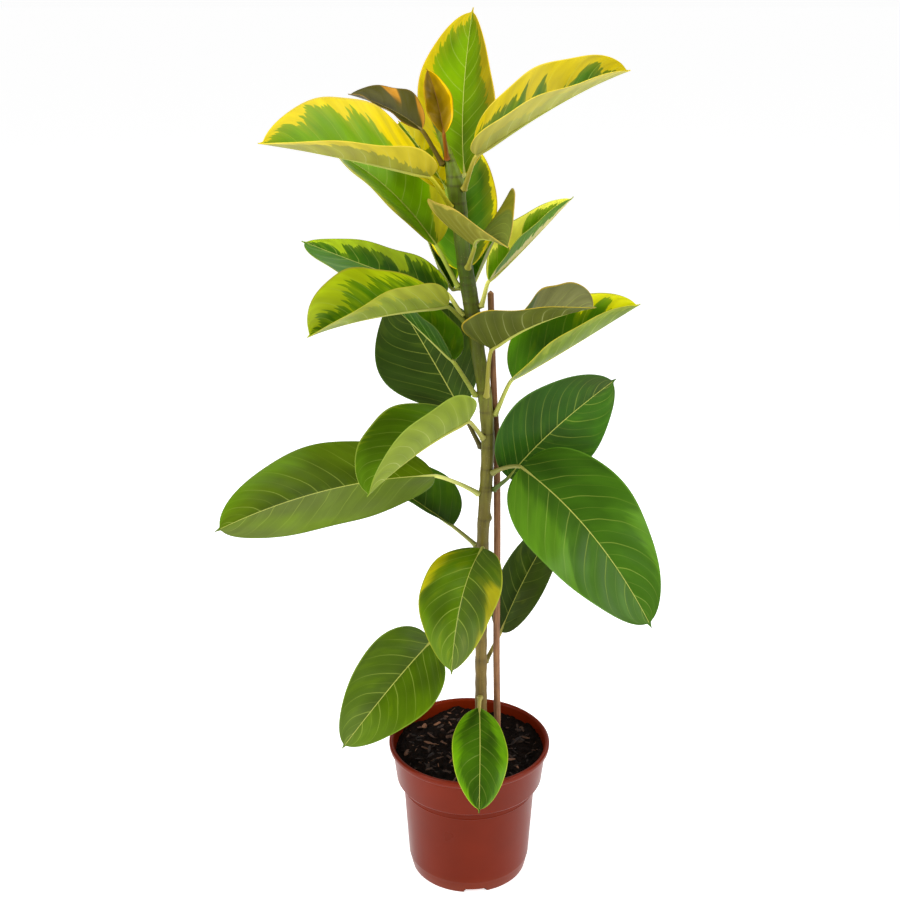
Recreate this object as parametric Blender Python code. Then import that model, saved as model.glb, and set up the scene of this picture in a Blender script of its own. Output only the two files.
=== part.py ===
"""A potted lofty fig: one stem with a bud, a stake, its leaves, potting mix and a plastic nursery pot.

Metres, +Z up. The origin is the centre of the pot's foot, and the plant's best side looks along -Y.
Each leaf is one solid: its petiole starts at the stem and runs on under the blade as the midrib.
"""

import math
from collections import namedtuple

import bmesh
import bpy
import numpy as np

# The gap that touching pieces keep
GAP = 0.0003

# The pot: a standard 17 cm nursery pot
POT_HEIGHT = 0.150
RIM_RADIUS = 0.085
RIM_HEIGHT = 0.007
COLLAR_TOP_RADIUS = 0.0812
COLLAR_FOOT_RADIUS = 0.0772
COLLAR_FOOT = 0.1075
BODY_TOP_RADIUS = 0.0700
BODY_TOP = 0.1030
BODY_FOOT_RADIUS = 0.0647
BODY_FOOT = 0.0140
FOOT_RADIUS = 0.0615
WALL = 0.0022
CHANNEL_DEPTH = 0.0050
CHANNEL_INNER_RADIUS = 0.0360
CHANNEL_OUTER_RADIUS = 0.0580
EDGE = 0.0010
STEP_ROUND = 0.0015
POT_SIDES = 48

# Drainage holes in the channel under the pot, and the notches that let water out of it
HOLE_COUNT = 8
HOLE_RADIUS = 0.0045
HOLE_CIRCLE = 0.0470
HOLE_SIDES = 16
NOTCH_COUNT = 4
NOTCH_WIDTH = 0.0240
NOTCH_REACH = 0.0080
NOTCH_TURN = math.radians(-84)

# The potting mix, and the waves of its surface: radians per metre along x and y, and a phase
SOIL_HEIGHT = 0.1385
SOIL_BUMP = 0.0016
SOIL_WAVES = ((93, 40, 0), (-120, 71, 1))
SOIL_RINGS = 6
SOIL_SIDES = 36

# The stem: points of its axis with its radius there, from its foot in the mix to the tip of the bud
STEM_SIDES = 12
STEM_BANDS = 23
STEM = (
    (0.0125, 0.000, 0.070, 0.0062),
    (0.0125, 0.000, 0.150, 0.0062),
    (0.0118, 0.000, 0.250, 0.0059),
    (0.0122, 0.000, 0.320, 0.0058),
    (0.0128, 0.000, 0.390, 0.0060),
    (0.0156, 0.000, 0.445, 0.0062),
    (0.0165, 0.000, 0.490, 0.0064),
    (0.0130, 0.000, 0.532, 0.0066),
    (0.0060, 0.000, 0.577, 0.0069),
    (-0.0010, 0.000, 0.625, 0.0071),
    (-0.0073, 0.000, 0.664, 0.0070),
    (-0.0115, 0.000, 0.700, 0.0074),
    (-0.0150, 0.001, 0.732, 0.0078),
    (-0.0200, 0.003, 0.752, 0.0052),
    (-0.0238, 0.007, 0.764, 0.0040),
    (-0.0300, 0.011, 0.778, 0.0026),
    (-0.0370, 0.014, 0.790, 0.0008),
)

# The stake, in the same way
STAKE_SIDES = 10
STAKE_BANDS = 9
STAKE = (
    (0.0300, 0.0050, 0.050, 0.0036),
    (0.0300, 0.0050, 0.150, 0.0036),
    (0.0280, 0.0060, 0.252, 0.0035),
    (0.0275, 0.0075, 0.354, 0.0035),
    (0.0268, 0.0085, 0.420, 0.0034),
    (0.0255, 0.0085, 0.484, 0.0032),
    (0.0228, 0.0080, 0.525, 0.0031),
    (0.0203, 0.0075, 0.575, 0.0031),
    (0.0180, 0.0070, 0.633, 0.0030),
)

# The blade: its outline, a full oval with a short drip tip, its thickness and the waves of its margin,
# which start a golden angle further on in each next leaf
OVAL_END = 0.975
OVAL_SKEW = 0.88
OVAL_FULLNESS = 0.58
DRIP_TIP = 1.8
TIP_HALF_WIDTH = 0.0006
BLADE = 0.0008
WAVE_HEIGHT = 0.0016
WAVES = 2.3
GOLDEN_ANGLE = 2.4
BLADE_BANDS = 11
HALF_SPANS = 2

# The petiole: its radius at the blade, how much stouter it is at the stem, how steeply it leaves at
# least and at most, and how far it keeps its direction at the stem and at the blade
PETIOLE_RADIUS = 0.0017
PETIOLE_FLARE = 1.35
PETIOLE_LEAST_RISE = math.radians(38)
PETIOLE_MOST_RISE = math.radians(68)
PETIOLE_REACH = 0.35
BLADE_REACH = 0.14
PETIOLE_BANDS = 5

# A leaf: where its petiole leaves the stem, the base, middle and tip of its midrib, where its upper
# side faces, its width, for its left and right half how far each is folded up and curls on (degrees),
# how far the blade turns to its right from base to tip (degrees), and its outline's skew and fullness
Leaf = namedtuple("Leaf", "name leaves_stem base middle tip face width left right twist skew fullness",
                  defaults=(0, OVAL_SKEW, OVAL_FULLNESS))
LEAVES = (
    # The young leaves at the shoot tip
    Leaf("leaf_01", 0.757, (-0.026, -0.015, 0.781), (-0.032, -0.013, 0.810), (-0.041, -0.016, 0.837),
         (0.25, -0.93, 0.26), 0.029, (24, -2), (33, 11), -4, 0.91, 0.68),
    Leaf("leaf_02", 0.752, (-0.046, -0.005, 0.783), (-0.075, 0.007, 0.800), (-0.113, 0.020, 0.812),
         (0.22, -0.29, 0.93), 0.047, (16, 13), (30, 24), 21, 0.92, 0.63),
    Leaf("leaf_03", 0.738, (-0.007, 0.012, 0.741), (-0.008, 0.040, 0.805), (0.001, 0.055, 0.886),
         (-0.39, -0.82, 0.42), 0.086, (24, 3), (22, 8), -30, 1.07, 0.57),
    Leaf("leaf_04", 0.730, (0.004, -0.018, 0.762), (0.071, -0.038, 0.807), (0.134, -0.050, 0.838),
         (-0.40, -0.24, 0.88), 0.083, (42, 5), (42, -7), 15, 0.74, 0.50),
    Leaf("leaf_05", 0.714, (-0.039, -0.026, 0.744), (-0.106, -0.081, 0.767), (-0.177, -0.126, 0.786),
         (0.29, -0.12, 0.95), 0.109, (34, 2), (49, 15), -14, 0.92, 0.62),
    Leaf("leaf_06", 0.705, (-0.024, 0.014, 0.727), (-0.044, 0.030, 0.756), (-0.069, 0.050, 0.785),
         (0.3, -0.8, 0.5), 0.050, (15, 5), (15, 5)),
    # The leaves with the broad yellow margins
    Leaf("leaf_07", 0.645, (-0.008, 0.018, 0.650), (-0.010, 0.056, 0.707), (-0.004, 0.100, 0.762),
         (0.0, -1.0, 0.3), 0.073, (8, 5), (15, 5)),
    Leaf("leaf_08", 0.658, (0.002, -0.028, 0.682), (0.008, -0.061, 0.695), (0.029, -0.116, 0.698),
         (-0.20, 0.71, 0.68), 0.113, (45, 14), (41, -1), 19, 0.63, 0.72),
    Leaf("leaf_09", 0.638, (-0.034, 0.004, 0.677), (-0.076, 0.026, 0.723), (-0.126, 0.056, 0.753),
         (0.4, -0.8, 0.5), 0.092, (45, 0), (5, 5)),
    Leaf("leaf_10", 0.632, (-0.018, 0.024, 0.630), (-0.036, 0.074, 0.653), (-0.043, 0.125, 0.691),
         (0.2, -0.5, 0.8), 0.066, (60, 5), (55, 5)),
    Leaf("leaf_11", 0.628, (0.001, 0.018, 0.635), (0.017, 0.070, 0.654), (0.038, 0.115, 0.685),
         (-0.2, -0.5, 0.8), 0.064, (56, 5), (62, 5)),
    Leaf("leaf_12", 0.620, (0.016, -0.004, 0.644), (0.051, 0.008, 0.675), (0.095, 0.020, 0.719),
         (-0.42, -0.68, 0.59), 0.053, (38, 8), (74, 2), -14, 0.93, 0.66),
    # The leaves in the middle, mottled with lime
    Leaf("leaf_13", 0.610, (-0.024, 0.000, 0.632), (-0.092, 0.030, 0.648), (-0.165, 0.062, 0.669),
         (0.2, -0.30, 0.95), 0.080, (4, 5), (8, 5)),
    Leaf("leaf_14", 0.604, (-0.023, -0.018, 0.623), (-0.089, -0.062, 0.624), (-0.145, -0.105, 0.617),
         (0.21, -0.02, 0.98), 0.098, (50, -1), (46, 3), -24, 0.98, 0.47),
    Leaf("leaf_15", 0.533, (0.019, -0.032, 0.586), (0.057, -0.071, 0.620), (0.106, -0.106, 0.644),
         (-0.54, 0.13, 0.83), 0.099, (2, 47), (52, -20), 32, 0.60, 0.43),
    Leaf("leaf_16", 0.532, (-0.018, -0.008, 0.568), (-0.049, 0.020, 0.590), (-0.091, 0.045, 0.622),
         (0.5, -0.6, 0.6), 0.070, (60, 10), (10, 5)),
    Leaf("leaf_17", 0.512, (0.040, -0.002, 0.548), (0.095, -0.021, 0.587), (0.153, -0.044, 0.632),
         (-0.47, -0.64, 0.60), 0.095, (24, 6), (61, 18), -27, 0.84, 0.58),
    Leaf("leaf_18", 0.490, (-0.003, -0.026, 0.513), (-0.048, -0.099, 0.509), (-0.092, -0.164, 0.491),
         (-0.16, 0.01, 0.99), 0.109, (55, 5), (30, 1), 22, 0.86, 0.56),
    Leaf("leaf_19", 0.476, (-0.008, 0.020, 0.507), (-0.043, 0.052, 0.561), (-0.078, 0.070, 0.617),
         (0.03, -0.85, 0.52), 0.110, (7, 4), (12, 2), -1, 1.02, 0.80),
    # The lower leaves
    Leaf("leaf_20", 0.453, (0.048, -0.030, 0.468), (0.115, -0.065, 0.412), (0.172, -0.090, 0.327),
         (0.18, -0.74, 0.64), 0.119, (5, -2), (5, 0), 2, 0.72, 0.54),
    Leaf("leaf_21", 0.434, (0.037, -0.005, 0.448), (0.080, 0.006, 0.493), (0.142, 0.022, 0.541),
         (0.25, -1.0, 0.1), 0.098, (8, 0), (8, 0)),
    Leaf("leaf_22", 0.430, (-0.036, -0.019, 0.455), (-0.139, -0.051, 0.452), (-0.241, -0.079, 0.422),
         (-0.03, -0.59, 0.80), 0.098, (15, -3), (12, -1), -13, 0.92, 0.55),
    Leaf("leaf_23", 0.372, (-0.018, 0.012, 0.389), (-0.057, 0.040, 0.406), (-0.124, 0.070, 0.444),
         (0.3, -0.8, 0.5), 0.080, (65, 0), (8, 0)),
    Leaf("leaf_24", 0.355, (0.011, -0.033, 0.384), (-0.009, -0.080, 0.353), (-0.019, -0.116, 0.291),
         (-0.46, -0.70, 0.54), 0.084, (10, -5), (23, -6), 2, 0.92, 0.66),
    Leaf("leaf_25", 0.265, (-0.039, -0.019, 0.276), (-0.079, -0.055, 0.244), (-0.128, -0.079, 0.187),
         (0.21, -0.88, 0.42), 0.088, (5, 2), (10, -2), 2, 0.77, 0.58),
    Leaf("leaf_26", 0.238, (0.033, 0.025, 0.263), (0.062, 0.046, 0.323), (0.095, 0.079, 0.365),
         (0.05, -0.84, 0.54), 0.056, (14, 22), (31, 7), 5, 0.84, 0.57),
    Leaf("leaf_27", 0.203, (0.010, -0.013, 0.194), (0.010, -0.059, 0.175), (0.008, -0.119, 0.139),
         (0.16, -0.55, 0.82), 0.059, (2, -16), (9, -9), -9, 1.16, 0.57),
)

SMOOTH_ANGLE = math.radians(35)

# Colour (sRGB), roughness
POT_LOOK = ((0.60, 0.24, 0.16), 0.40)
SOIL_LOOK = ((0.10, 0.07, 0.05), 0.95)
STEM_LOOK = ((0.40, 0.42, 0.22), 0.60)
STAKE_LOOK = ((0.62, 0.42, 0.33), 0.70)
YOUNG_LOOK = ((0.50, 0.36, 0.08), 0.40)
MARGIN_LOOK = ((0.62, 0.66, 0.12), 0.35)
MIDDLE_LOOK = ((0.36, 0.52, 0.10), 0.35)
LOWER_LOOK = ((0.16, 0.36, 0.10), 0.35)
LEAF_LOOKS = ((2, "young_leaf", YOUNG_LOOK), (12, "yellow_margined_leaf", MARGIN_LOOK),
              (19, "mottled_leaf", MIDDLE_LOOK), (27, "green_leaf", LOWER_LOOK))


def clear_scene():
    for obj in list(bpy.data.objects):
        bpy.data.objects.remove(obj)


def material(name, look):
    """The named Principled material, made on its first use."""
    if name in bpy.data.materials:
        return bpy.data.materials[name]
    made = bpy.data.materials.new(name)
    made.use_nodes = True
    colour, roughness = look
    shader = made.node_tree.nodes["Principled BSDF"]
    shader.inputs["Base Color"].default_value = (*(channel**2.2 for channel in colour), 1)
    shader.inputs["Roughness"].default_value = roughness
    return made


def add_object(name, mesh, look_name, look):
    obj = bpy.data.objects.new(name, mesh)
    bpy.context.scene.collection.objects.link(obj)
    mesh.materials.append(material(look_name, look))
    mesh.shade_smooth()
    mesh.set_sharp_from_angle(angle=SMOOTH_ANGLE)
    return obj


def unit(vector):
    return vector / np.linalg.norm(vector)


def smooth_path(points, count):
    """Even points of the Catmull-Rom curve through these rows, which may carry a radius too."""
    rows = np.array(points, float)
    rows = np.vstack([2 * rows[0] - rows[1], rows, 2 * rows[-1] - rows[-2]])
    found = []
    for place in np.linspace(0, len(points) - 1, count):
        i = min(int(place), len(points) - 2)
        t = place - i
        a, b, c, d = rows[i : i + 4]
        found.append(b + 0.5 * t * (c - a + t * (2 * a - 5 * b + 4 * c - d + t * (3 * (b - c) + d - a))))
    return np.array(found)


def skin(name, rings):
    """A closed mesh over rings that each hold a top row, then its bottom row from the far edge back.

    Both faces are split along the same diagonals, and strips between the rows close the two ends.
    """
    size = len(rings[0])
    half = size // 2
    faces = []
    for i in range(len(rings) - 1):
        for k in range(size):
            a, b = i * size + k, i * size + (k + 1) % size
            c, d = b + size, a + size
            faces += [(a, b, c), (a, c, d)] if k < half else [(a, b, d), (b, c, d)]
    last = (len(rings) - 1) * size
    for k in range(half - 1):
        a, b, c, d = k, k + 1, size - 2 - k, size - 1 - k
        faces += [(a, c, b), (a, d, c)]
        faces += [(last + a, last + b, last + c), (last + a, last + c, last + d)]
    mesh = bpy.data.meshes.new(name)
    mesh.from_pydata([tuple(point) for ring in rings for point in ring], [], faces)
    edit = bmesh.new()
    edit.from_mesh(mesh)
    bmesh.ops.recalc_face_normals(edit, faces=edit.faces)
    edit.to_mesh(mesh)
    edit.free()
    return mesh


def round_section(count, radius):
    """(across, up) of an even ring: count points over the top, then count back under it."""
    angles = math.pi * (1 - (np.arange(2 * count) + 0.5) / count)
    return radius * np.stack([np.cos(angles), np.sin(angles)], axis=1)


def rod(name, rows, sides):
    """A round solid along rows of x, y, z, radius."""
    rings = []
    ahead = np.gradient(rows[:, :3], axis=0)
    for row, along in zip(rows, ahead):
        along = unit(along)
        right = unit(np.cross(along, (0.0, -1.0, 0.0)))
        up = np.cross(right, along)
        section = round_section(sides // 2, row[3])
        rings.append(row[:3] + section[:, :1] * right + section[:, 1:] * up)
    return skin(name, rings)


def stem_at(height):
    """The stem's axis point and radius at this height."""
    rows = np.array(STEM)
    return np.array([np.interp(height, rows[:, 2], rows[:, k]) for k in range(4)])


def blade_half_width(leaf, u):
    """Half of the blade's width at u, which runs from 0 at its base to 1 at its tip."""
    oval = math.sin(math.pi * min(1.0, u / OVAL_END) ** leaf.skew) ** leaf.fullness
    tip = DRIP_TIP * (1 - u) * u**6
    return max(TIP_HALF_WIDTH, leaf.width / 2 * math.hypot(oval, tip))


def blade_section(leaf, u):
    """(across, up) of the blade's section at u: the top row from left to right, then the bottom row back."""
    half = blade_half_width(leaf, u)
    keel = (2 * PETIOLE_RADIUS - BLADE) * (1 - u) ** 3
    phase = GOLDEN_ANGLE * LEAVES.index(leaf)
    top, bottom = [], []
    for span in range(-HALF_SPANS, HALF_SPANS + 1):
        out = abs(span) / HALF_SPANS
        side = math.copysign(1, span)
        fold, curl = (math.radians(value) for value in (leaf.right if span > 0 else leaf.left))
        turn = fold + curl * out
        mean = fold + curl * out / 2
        middle = np.array([side * math.cos(mean), math.sin(mean)]) * half * out
        wave = math.sin(math.pi * u) * math.sin(2 * math.pi * WAVES * u + phase)
        middle[1] += WAVE_HEIGHT * out**2 * wave
        normal = np.array([-side * math.sin(turn), math.cos(turn)]) if span else np.array([0.0, 1.0])
        top.append(middle + normal * BLADE / 2)
        bottom.append(middle - normal * (BLADE / 2 + (0 if span else keel)))
    return np.array(top + bottom[::-1])


def upper_side(leaf, forward, u):
    """The direction, square to the midrib's, that the blade's upper side faces at u."""
    face = np.array(leaf.face)
    level = unit(face - face.dot(forward) * forward)
    lean = math.radians(leaf.twist) * (u - 0.5)
    return math.cos(lean) * level + math.sin(lean) * np.cross(forward, level)


def leaf_rings(leaf):
    """The rings of a leaf, from the stem along the petiole, then along the midrib to the tip."""
    base, middle, tip = (np.array(point) for point in (leaf.base, leaf.middle, leaf.tip))
    us = (1 - np.cos(np.pi * np.arange(BLADE_BANDS + 1) / BLADE_BANDS)) / 2

    def midrib(u):
        return base * (1 - u) * (1 - 2 * u) + middle * 4 * u * (1 - u) + tip * u * (2 * u - 1)

    def along(u):
        return unit(base * (4 * u - 3) + middle * (4 - 8 * u) + tip * (4 * u - 1))

    rings = []
    count = 2 * HALF_SPANS + 1
    for i, u in enumerate(us):
        up = upper_side(leaf, along(u), u)
        section = round_section(count, PETIOLE_RADIUS) if i == 0 else blade_section(leaf, u)
        rings.append(midrib(u) + section[:, :1] * np.cross(along(u), up) + section[:, 1:] * up)

    axis = stem_at(leaf.leaves_stem)
    outward = unit((base - axis[:3]) * (1, 1, 0))
    flared = PETIOLE_RADIUS * PETIOLE_FLARE
    straight = base - axis[:3] - outward * (axis[3] + flared)
    rise = math.atan2(straight[2], straight.dot(outward))
    rise = min(PETIOLE_MOST_RISE, max(PETIOLE_LEAST_RISE, rise))
    lean = outward.dot((stem_at(leaf.leaves_stem + flared) - axis)[:3])
    start = axis[:3] + outward * (axis[3] + GAP + flared * math.sin(rise) + max(0, lean))
    length = np.linalg.norm(base - start)
    leaving = outward * math.cos(rise) + np.array([0, 0, math.sin(rise)])
    controls = (start, start + leaving * PETIOLE_REACH * length, base - along(0) * BLADE_REACH * length, base)
    up = upper_side(leaf, along(0), 0)
    petiole = []
    for step in range(PETIOLE_BANDS - 1, -1, -1):
        t = step / PETIOLE_BANDS
        weights = ((1 - t) ** 3, 3 * t * (1 - t) ** 2, 3 * t * t * (1 - t), t**3)
        slopes = (-((1 - t) ** 2), (1 - t) ** 2 - 2 * t * (1 - t), 2 * t * (1 - t) - t * t, t * t)
        point = sum(weight * control for weight, control in zip(weights, controls))
        forward = unit(sum(slope * control for slope, control in zip(slopes, controls)))
        up = unit(up - up.dot(forward) * forward)
        section = round_section(count, flared + (PETIOLE_RADIUS - flared) * t)
        petiole.append(point + section[:, :1] * np.cross(forward, up) + section[:, 1:] * up)
    return petiole[::-1] + rings


def turned(name, profile, sides, look_name, look):
    """A solid of revolution about Z, from a profile that starts and ends on the axis."""
    edit = bmesh.new()
    verts = [edit.verts.new((radius, 0, height)) for radius, height in profile]
    edges = [edit.edges.new(pair) for pair in zip(verts, verts[1:])]
    bmesh.ops.spin(edit, geom=verts + edges, axis=(0, 0, 1), cent=(0, 0, 0), dvec=(0, 0, 0),
                   angle=2 * math.pi, steps=sides, use_merge=True)
    bmesh.ops.remove_doubles(edit, verts=edit.verts, dist=1e-6)
    bmesh.ops.recalc_face_normals(edit, faces=edit.faces)
    mesh = bpy.data.meshes.new(name)
    edit.to_mesh(mesh)
    edit.free()
    return add_object(name, mesh, look_name, look)


def cut(obj, name, cutter):
    """Cuts the cutter's shape out of the object and hides the cutter."""
    cutter.hide_render = True
    cutter.display_type = "WIRE"
    boolean = obj.modifiers.new(name, "BOOLEAN")
    boolean.operation = "DIFFERENCE"
    boolean.object = cutter


def join_meshes(name, meshes):
    """One cutter from several closed meshes that don't touch."""
    edit = bmesh.new()
    for mesh in meshes:
        edit.from_mesh(mesh)
    joined = bpy.data.meshes.new(name)
    edit.to_mesh(joined)
    edit.free()
    obj = bpy.data.objects.new(name, joined)
    bpy.context.scene.collection.objects.link(obj)
    return obj


def cylinder_mesh(x, y, bottom, top, radius):
    edit = bmesh.new()
    bmesh.ops.create_cone(edit, cap_ends=True, segments=HOLE_SIDES, radius1=radius, radius2=radius,
                          depth=top - bottom)
    bmesh.ops.translate(edit, verts=edit.verts, vec=(x, y, (top + bottom) / 2))
    mesh = bpy.data.meshes.new("cylinder")
    edit.to_mesh(mesh)
    edit.free()
    return mesh


def box_mesh(angle, radius, size):
    """A box of this size whose middle lies on the floor at this angle and radius."""
    edit = bmesh.new()
    bmesh.ops.create_cube(edit, size=1)
    bmesh.ops.scale(edit, verts=edit.verts, vec=size)
    for vert in edit.verts:
        x, y = vert.co.x + radius, vert.co.y
        vert.co.x = x * math.cos(angle) - y * math.sin(angle)
        vert.co.y = x * math.sin(angle) + y * math.cos(angle)
    mesh = bpy.data.meshes.new("box")
    edit.to_mesh(mesh)
    edit.free()
    return mesh


def inner_profile(gap):
    """The pot's inner face from its rim down to the middle of its floor, moved in by a gap."""
    floor = CHANNEL_DEPTH + WALL + gap
    return [
        (COLLAR_TOP_RADIUS - WALL - gap, POT_HEIGHT - RIM_HEIGHT),
        (COLLAR_FOOT_RADIUS - WALL - gap, COLLAR_FOOT + gap),
        (COLLAR_FOOT_RADIUS - 1.8 * WALL - gap, COLLAR_FOOT - 0.8 * WALL + gap),
        (BODY_TOP_RADIUS - WALL - gap, BODY_TOP - 0.4 * WALL + gap),
        (BODY_FOOT_RADIUS - WALL - gap, BODY_FOOT),
        (BODY_FOOT_RADIUS - 2 * WALL - gap, floor),
        (CHANNEL_INNER_RADIUS, floor),
        (CHANNEL_INNER_RADIUS - 1.5 * WALL - gap, WALL + gap),
        (0, WALL + gap),
    ]


def build_pot():
    rim_foot = POT_HEIGHT - RIM_HEIGHT
    underside = [
        (0, 0),
        (CHANNEL_INNER_RADIUS - EDGE, 0),
        (CHANNEL_INNER_RADIUS, CHANNEL_DEPTH),
        (CHANNEL_OUTER_RADIUS, CHANNEL_DEPTH),
        (CHANNEL_OUTER_RADIUS + EDGE / 2, 0),
    ]
    outside = [
        (FOOT_RADIUS - EDGE, 0),
        (FOOT_RADIUS, EDGE),
        (BODY_FOOT_RADIUS, BODY_FOOT),
        (BODY_TOP_RADIUS, BODY_TOP),
        (BODY_TOP_RADIUS + STEP_ROUND, BODY_TOP + STEP_ROUND),
        (COLLAR_FOOT_RADIUS - STEP_ROUND, COLLAR_FOOT - STEP_ROUND),
        (COLLAR_FOOT_RADIUS, COLLAR_FOOT + EDGE / 2),
        (COLLAR_TOP_RADIUS, rim_foot - 2 * EDGE),
        (RIM_RADIUS - EDGE / 2, rim_foot + EDGE),
        (RIM_RADIUS, rim_foot + 3 * EDGE),
        (RIM_RADIUS, POT_HEIGHT - EDGE),
        (RIM_RADIUS - EDGE, POT_HEIGHT),
        (COLLAR_TOP_RADIUS + EDGE, POT_HEIGHT),
        (COLLAR_TOP_RADIUS - EDGE, POT_HEIGHT - STEP_ROUND),
    ]
    pot = turned("pot", underside + outside + inner_profile(0), POT_SIDES, "terracotta_plastic", POT_LOOK)
    holes = []
    for i in range(HOLE_COUNT):
        angle = 2 * math.pi * (i + 0.5) / HOLE_COUNT
        x, y = HOLE_CIRCLE * math.cos(angle), HOLE_CIRCLE * math.sin(angle)
        holes.append(cylinder_mesh(x, y, CHANNEL_DEPTH - WALL, CHANNEL_DEPTH + 2 * WALL, HOLE_RADIUS))
    cut(pot, "drainage", join_meshes("drainage_cutter", holes))
    notches = []
    for i in range(NOTCH_COUNT):
        angle = NOTCH_TURN + 2 * math.pi * i / NOTCH_COUNT
        notches.append(box_mesh(angle, FOOT_RADIUS, (NOTCH_REACH, NOTCH_WIDTH, 2 * (CHANNEL_DEPTH - GAP))))
    cut(pot, "notches", join_meshes("notch_cutter", notches))
    return pot


def build_soil():
    """The mix fills the pot up to a gently uneven surface, with a plain hole for the stem and the stake."""
    walls = inner_profile(GAP)[::-1]
    heights, radii = (COLLAR_FOOT, POT_HEIGHT - RIM_HEIGHT), (COLLAR_FOOT_RADIUS, COLLAR_TOP_RADIUS)
    edge = np.interp(SOIL_HEIGHT, heights, radii) - WALL - GAP
    surface = [(edge * (1 - i / SOIL_RINGS), SOIL_HEIGHT) for i in range(SOIL_RINGS + 1)]
    soil = turned("soil", walls[:-1] + surface, SOIL_SIDES, "potting_mix", SOIL_LOOK)
    for vert in soil.data.vertices:
        x, y, z = vert.co
        if z > SOIL_HEIGHT - GAP and math.hypot(x, y) < edge - WALL:
            vert.co.z += SOIL_BUMP * sum(math.sin(a * x + b * y + phase) for a, b, phase in SOIL_WAVES)
    holes = []
    for rows in (STEM, STAKE):
        x, y, foot, radius = rows[0]
        holes.append(cylinder_mesh(x, y, foot - GAP, POT_HEIGHT, radius + GAP))
    cut(soil, "holes", join_meshes("hole_cutter", holes))
    return soil


def build_stem():
    mesh = rod("stem", smooth_path(STEM, STEM_BANDS + 1), STEM_SIDES)
    return add_object("stem", mesh, "bark", STEM_LOOK)


def build_stake():
    mesh = rod("stake", smooth_path(STAKE, STAKE_BANDS + 1), STAKE_SIDES)
    return add_object("stake", mesh, "stake_wood", STAKE_LOOK)


def build_leaves():
    for number, leaf in enumerate(LEAVES, start=1):
        look_name, look = next(row[1:] for row in LEAF_LOOKS if number <= row[0])
        add_object(leaf.name, skin(leaf.name, leaf_rings(leaf)), look_name, look)


clear_scene()
build_pot()
build_soil()
build_stem()
build_stake()
build_leaves()
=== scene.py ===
# %% [markdown]
# # A potted lofty fig
#
# The variegated lofty fig is a rubber plant with broad leathery leaves, yellow at the margin while they are
# young. This one has a single stem beside a thin stake, in a terracotta-coloured plastic nursery pot. The
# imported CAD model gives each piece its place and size. This lesson dresses it: every piece is made again
# with a fine surface, on the same lines as the solid that it stands for, and gets the finish of the real
# thing.

import math
from collections import namedtuple

import bmesh
import bpy
import numpy as np
from mathutils import Euler, Matrix, Vector, noise


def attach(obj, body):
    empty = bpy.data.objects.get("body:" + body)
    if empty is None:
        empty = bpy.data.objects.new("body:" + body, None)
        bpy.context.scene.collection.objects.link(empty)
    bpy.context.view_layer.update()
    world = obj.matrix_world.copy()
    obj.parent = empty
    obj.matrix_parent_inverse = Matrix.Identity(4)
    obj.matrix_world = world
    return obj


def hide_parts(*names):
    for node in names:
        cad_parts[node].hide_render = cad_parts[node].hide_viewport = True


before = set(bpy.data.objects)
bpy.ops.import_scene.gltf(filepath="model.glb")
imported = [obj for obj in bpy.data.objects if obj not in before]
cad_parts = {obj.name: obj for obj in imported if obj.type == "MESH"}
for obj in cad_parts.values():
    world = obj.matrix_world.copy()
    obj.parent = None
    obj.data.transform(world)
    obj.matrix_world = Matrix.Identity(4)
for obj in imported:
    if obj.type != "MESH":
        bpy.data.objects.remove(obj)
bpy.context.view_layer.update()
BODY = "root"

# %% [markdown]
# ## Camera, light and floor
#
# The camera comes first. It stands 1.25 m in front of the pot, a little above the top leaf, and looks down
# by about 20 degrees, so the pot's soil shows.

# %% The camera
CAMERA_AT = (-0.0204, -1.25, 0.925)
CAMERA_DOWN = math.radians(19.8)
LENS_MM = 54.2
SENSOR_MM = 36

camera = bpy.data.objects.new("camera", bpy.data.cameras.new("camera"))
camera.data.lens = LENS_MM
camera.data.sensor_width = SENSOR_MM
camera.location = CAMERA_AT
camera.rotation_euler = (math.pi / 2 - CAMERA_DOWN, 0, 0)
bpy.context.scene.collection.objects.link(camera)
bpy.context.scene.camera = camera
print("camera at", CAMERA_AT, "lens", LENS_MM, "mm")

# %% [markdown]
# A product photograph of a plant is lit by large softboxes at both sides in a white room. Large area lights
# give the broad pale sheen that waxy leaves show, and the white world fills the shadows. The floor is a
# light table, opal white and lit from below, so the ground has no horizon and hardly a shadow.

# %% Colours and nodes


def paint(hex_colour):
    """An sRGB hex colour as the linear RGBA that Blender's sockets take."""
    channels = [int(hex_colour[i : i + 2], 16) / 255 for i in (0, 2, 4)]
    return (*(c / 12.92 if c <= 0.04045 else ((c + 0.055) / 1.055) ** 2.4 for c in channels), 1)


def add_node(tree, kind, inputs=None, **settings):
    """Adds a node with its settings. Each input takes a node, a socket or a value."""
    node = tree.nodes.new("ShaderNode" + kind)
    for name, value in settings.items():
        setattr(node, name, value)
    for place, value in (inputs or {}).items():
        if isinstance(value, bpy.types.Node):
            value = value.outputs[0]
        if isinstance(value, bpy.types.NodeSocket):
            tree.links.new(value, node.inputs[place])
        else:
            node.inputs[place].default_value = value
    return node


print("terracotta in linear light:", paint("9a4028"))

# %% The light
WORLD_LIGHT = 0.3
ROOM_WHITE = paint("fdfdfd")

world = bpy.data.worlds.new("white_room")
world.use_nodes = True
bpy.context.scene.world = world
tree = world.node_tree
tree.nodes.clear()
seen = add_node(tree, "LightPath")
strength = add_node(tree, "Mix", {0: seen.outputs["Is Camera Ray"], 2: WORLD_LIGHT, 3: 1.0})
background = add_node(tree, "Background", {"Color": ROOM_WHITE, "Strength": strength})
add_node(tree, "OutputWorld", {"Surface": background})
bpy.context.scene.view_settings.view_transform = "Standard"


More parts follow.
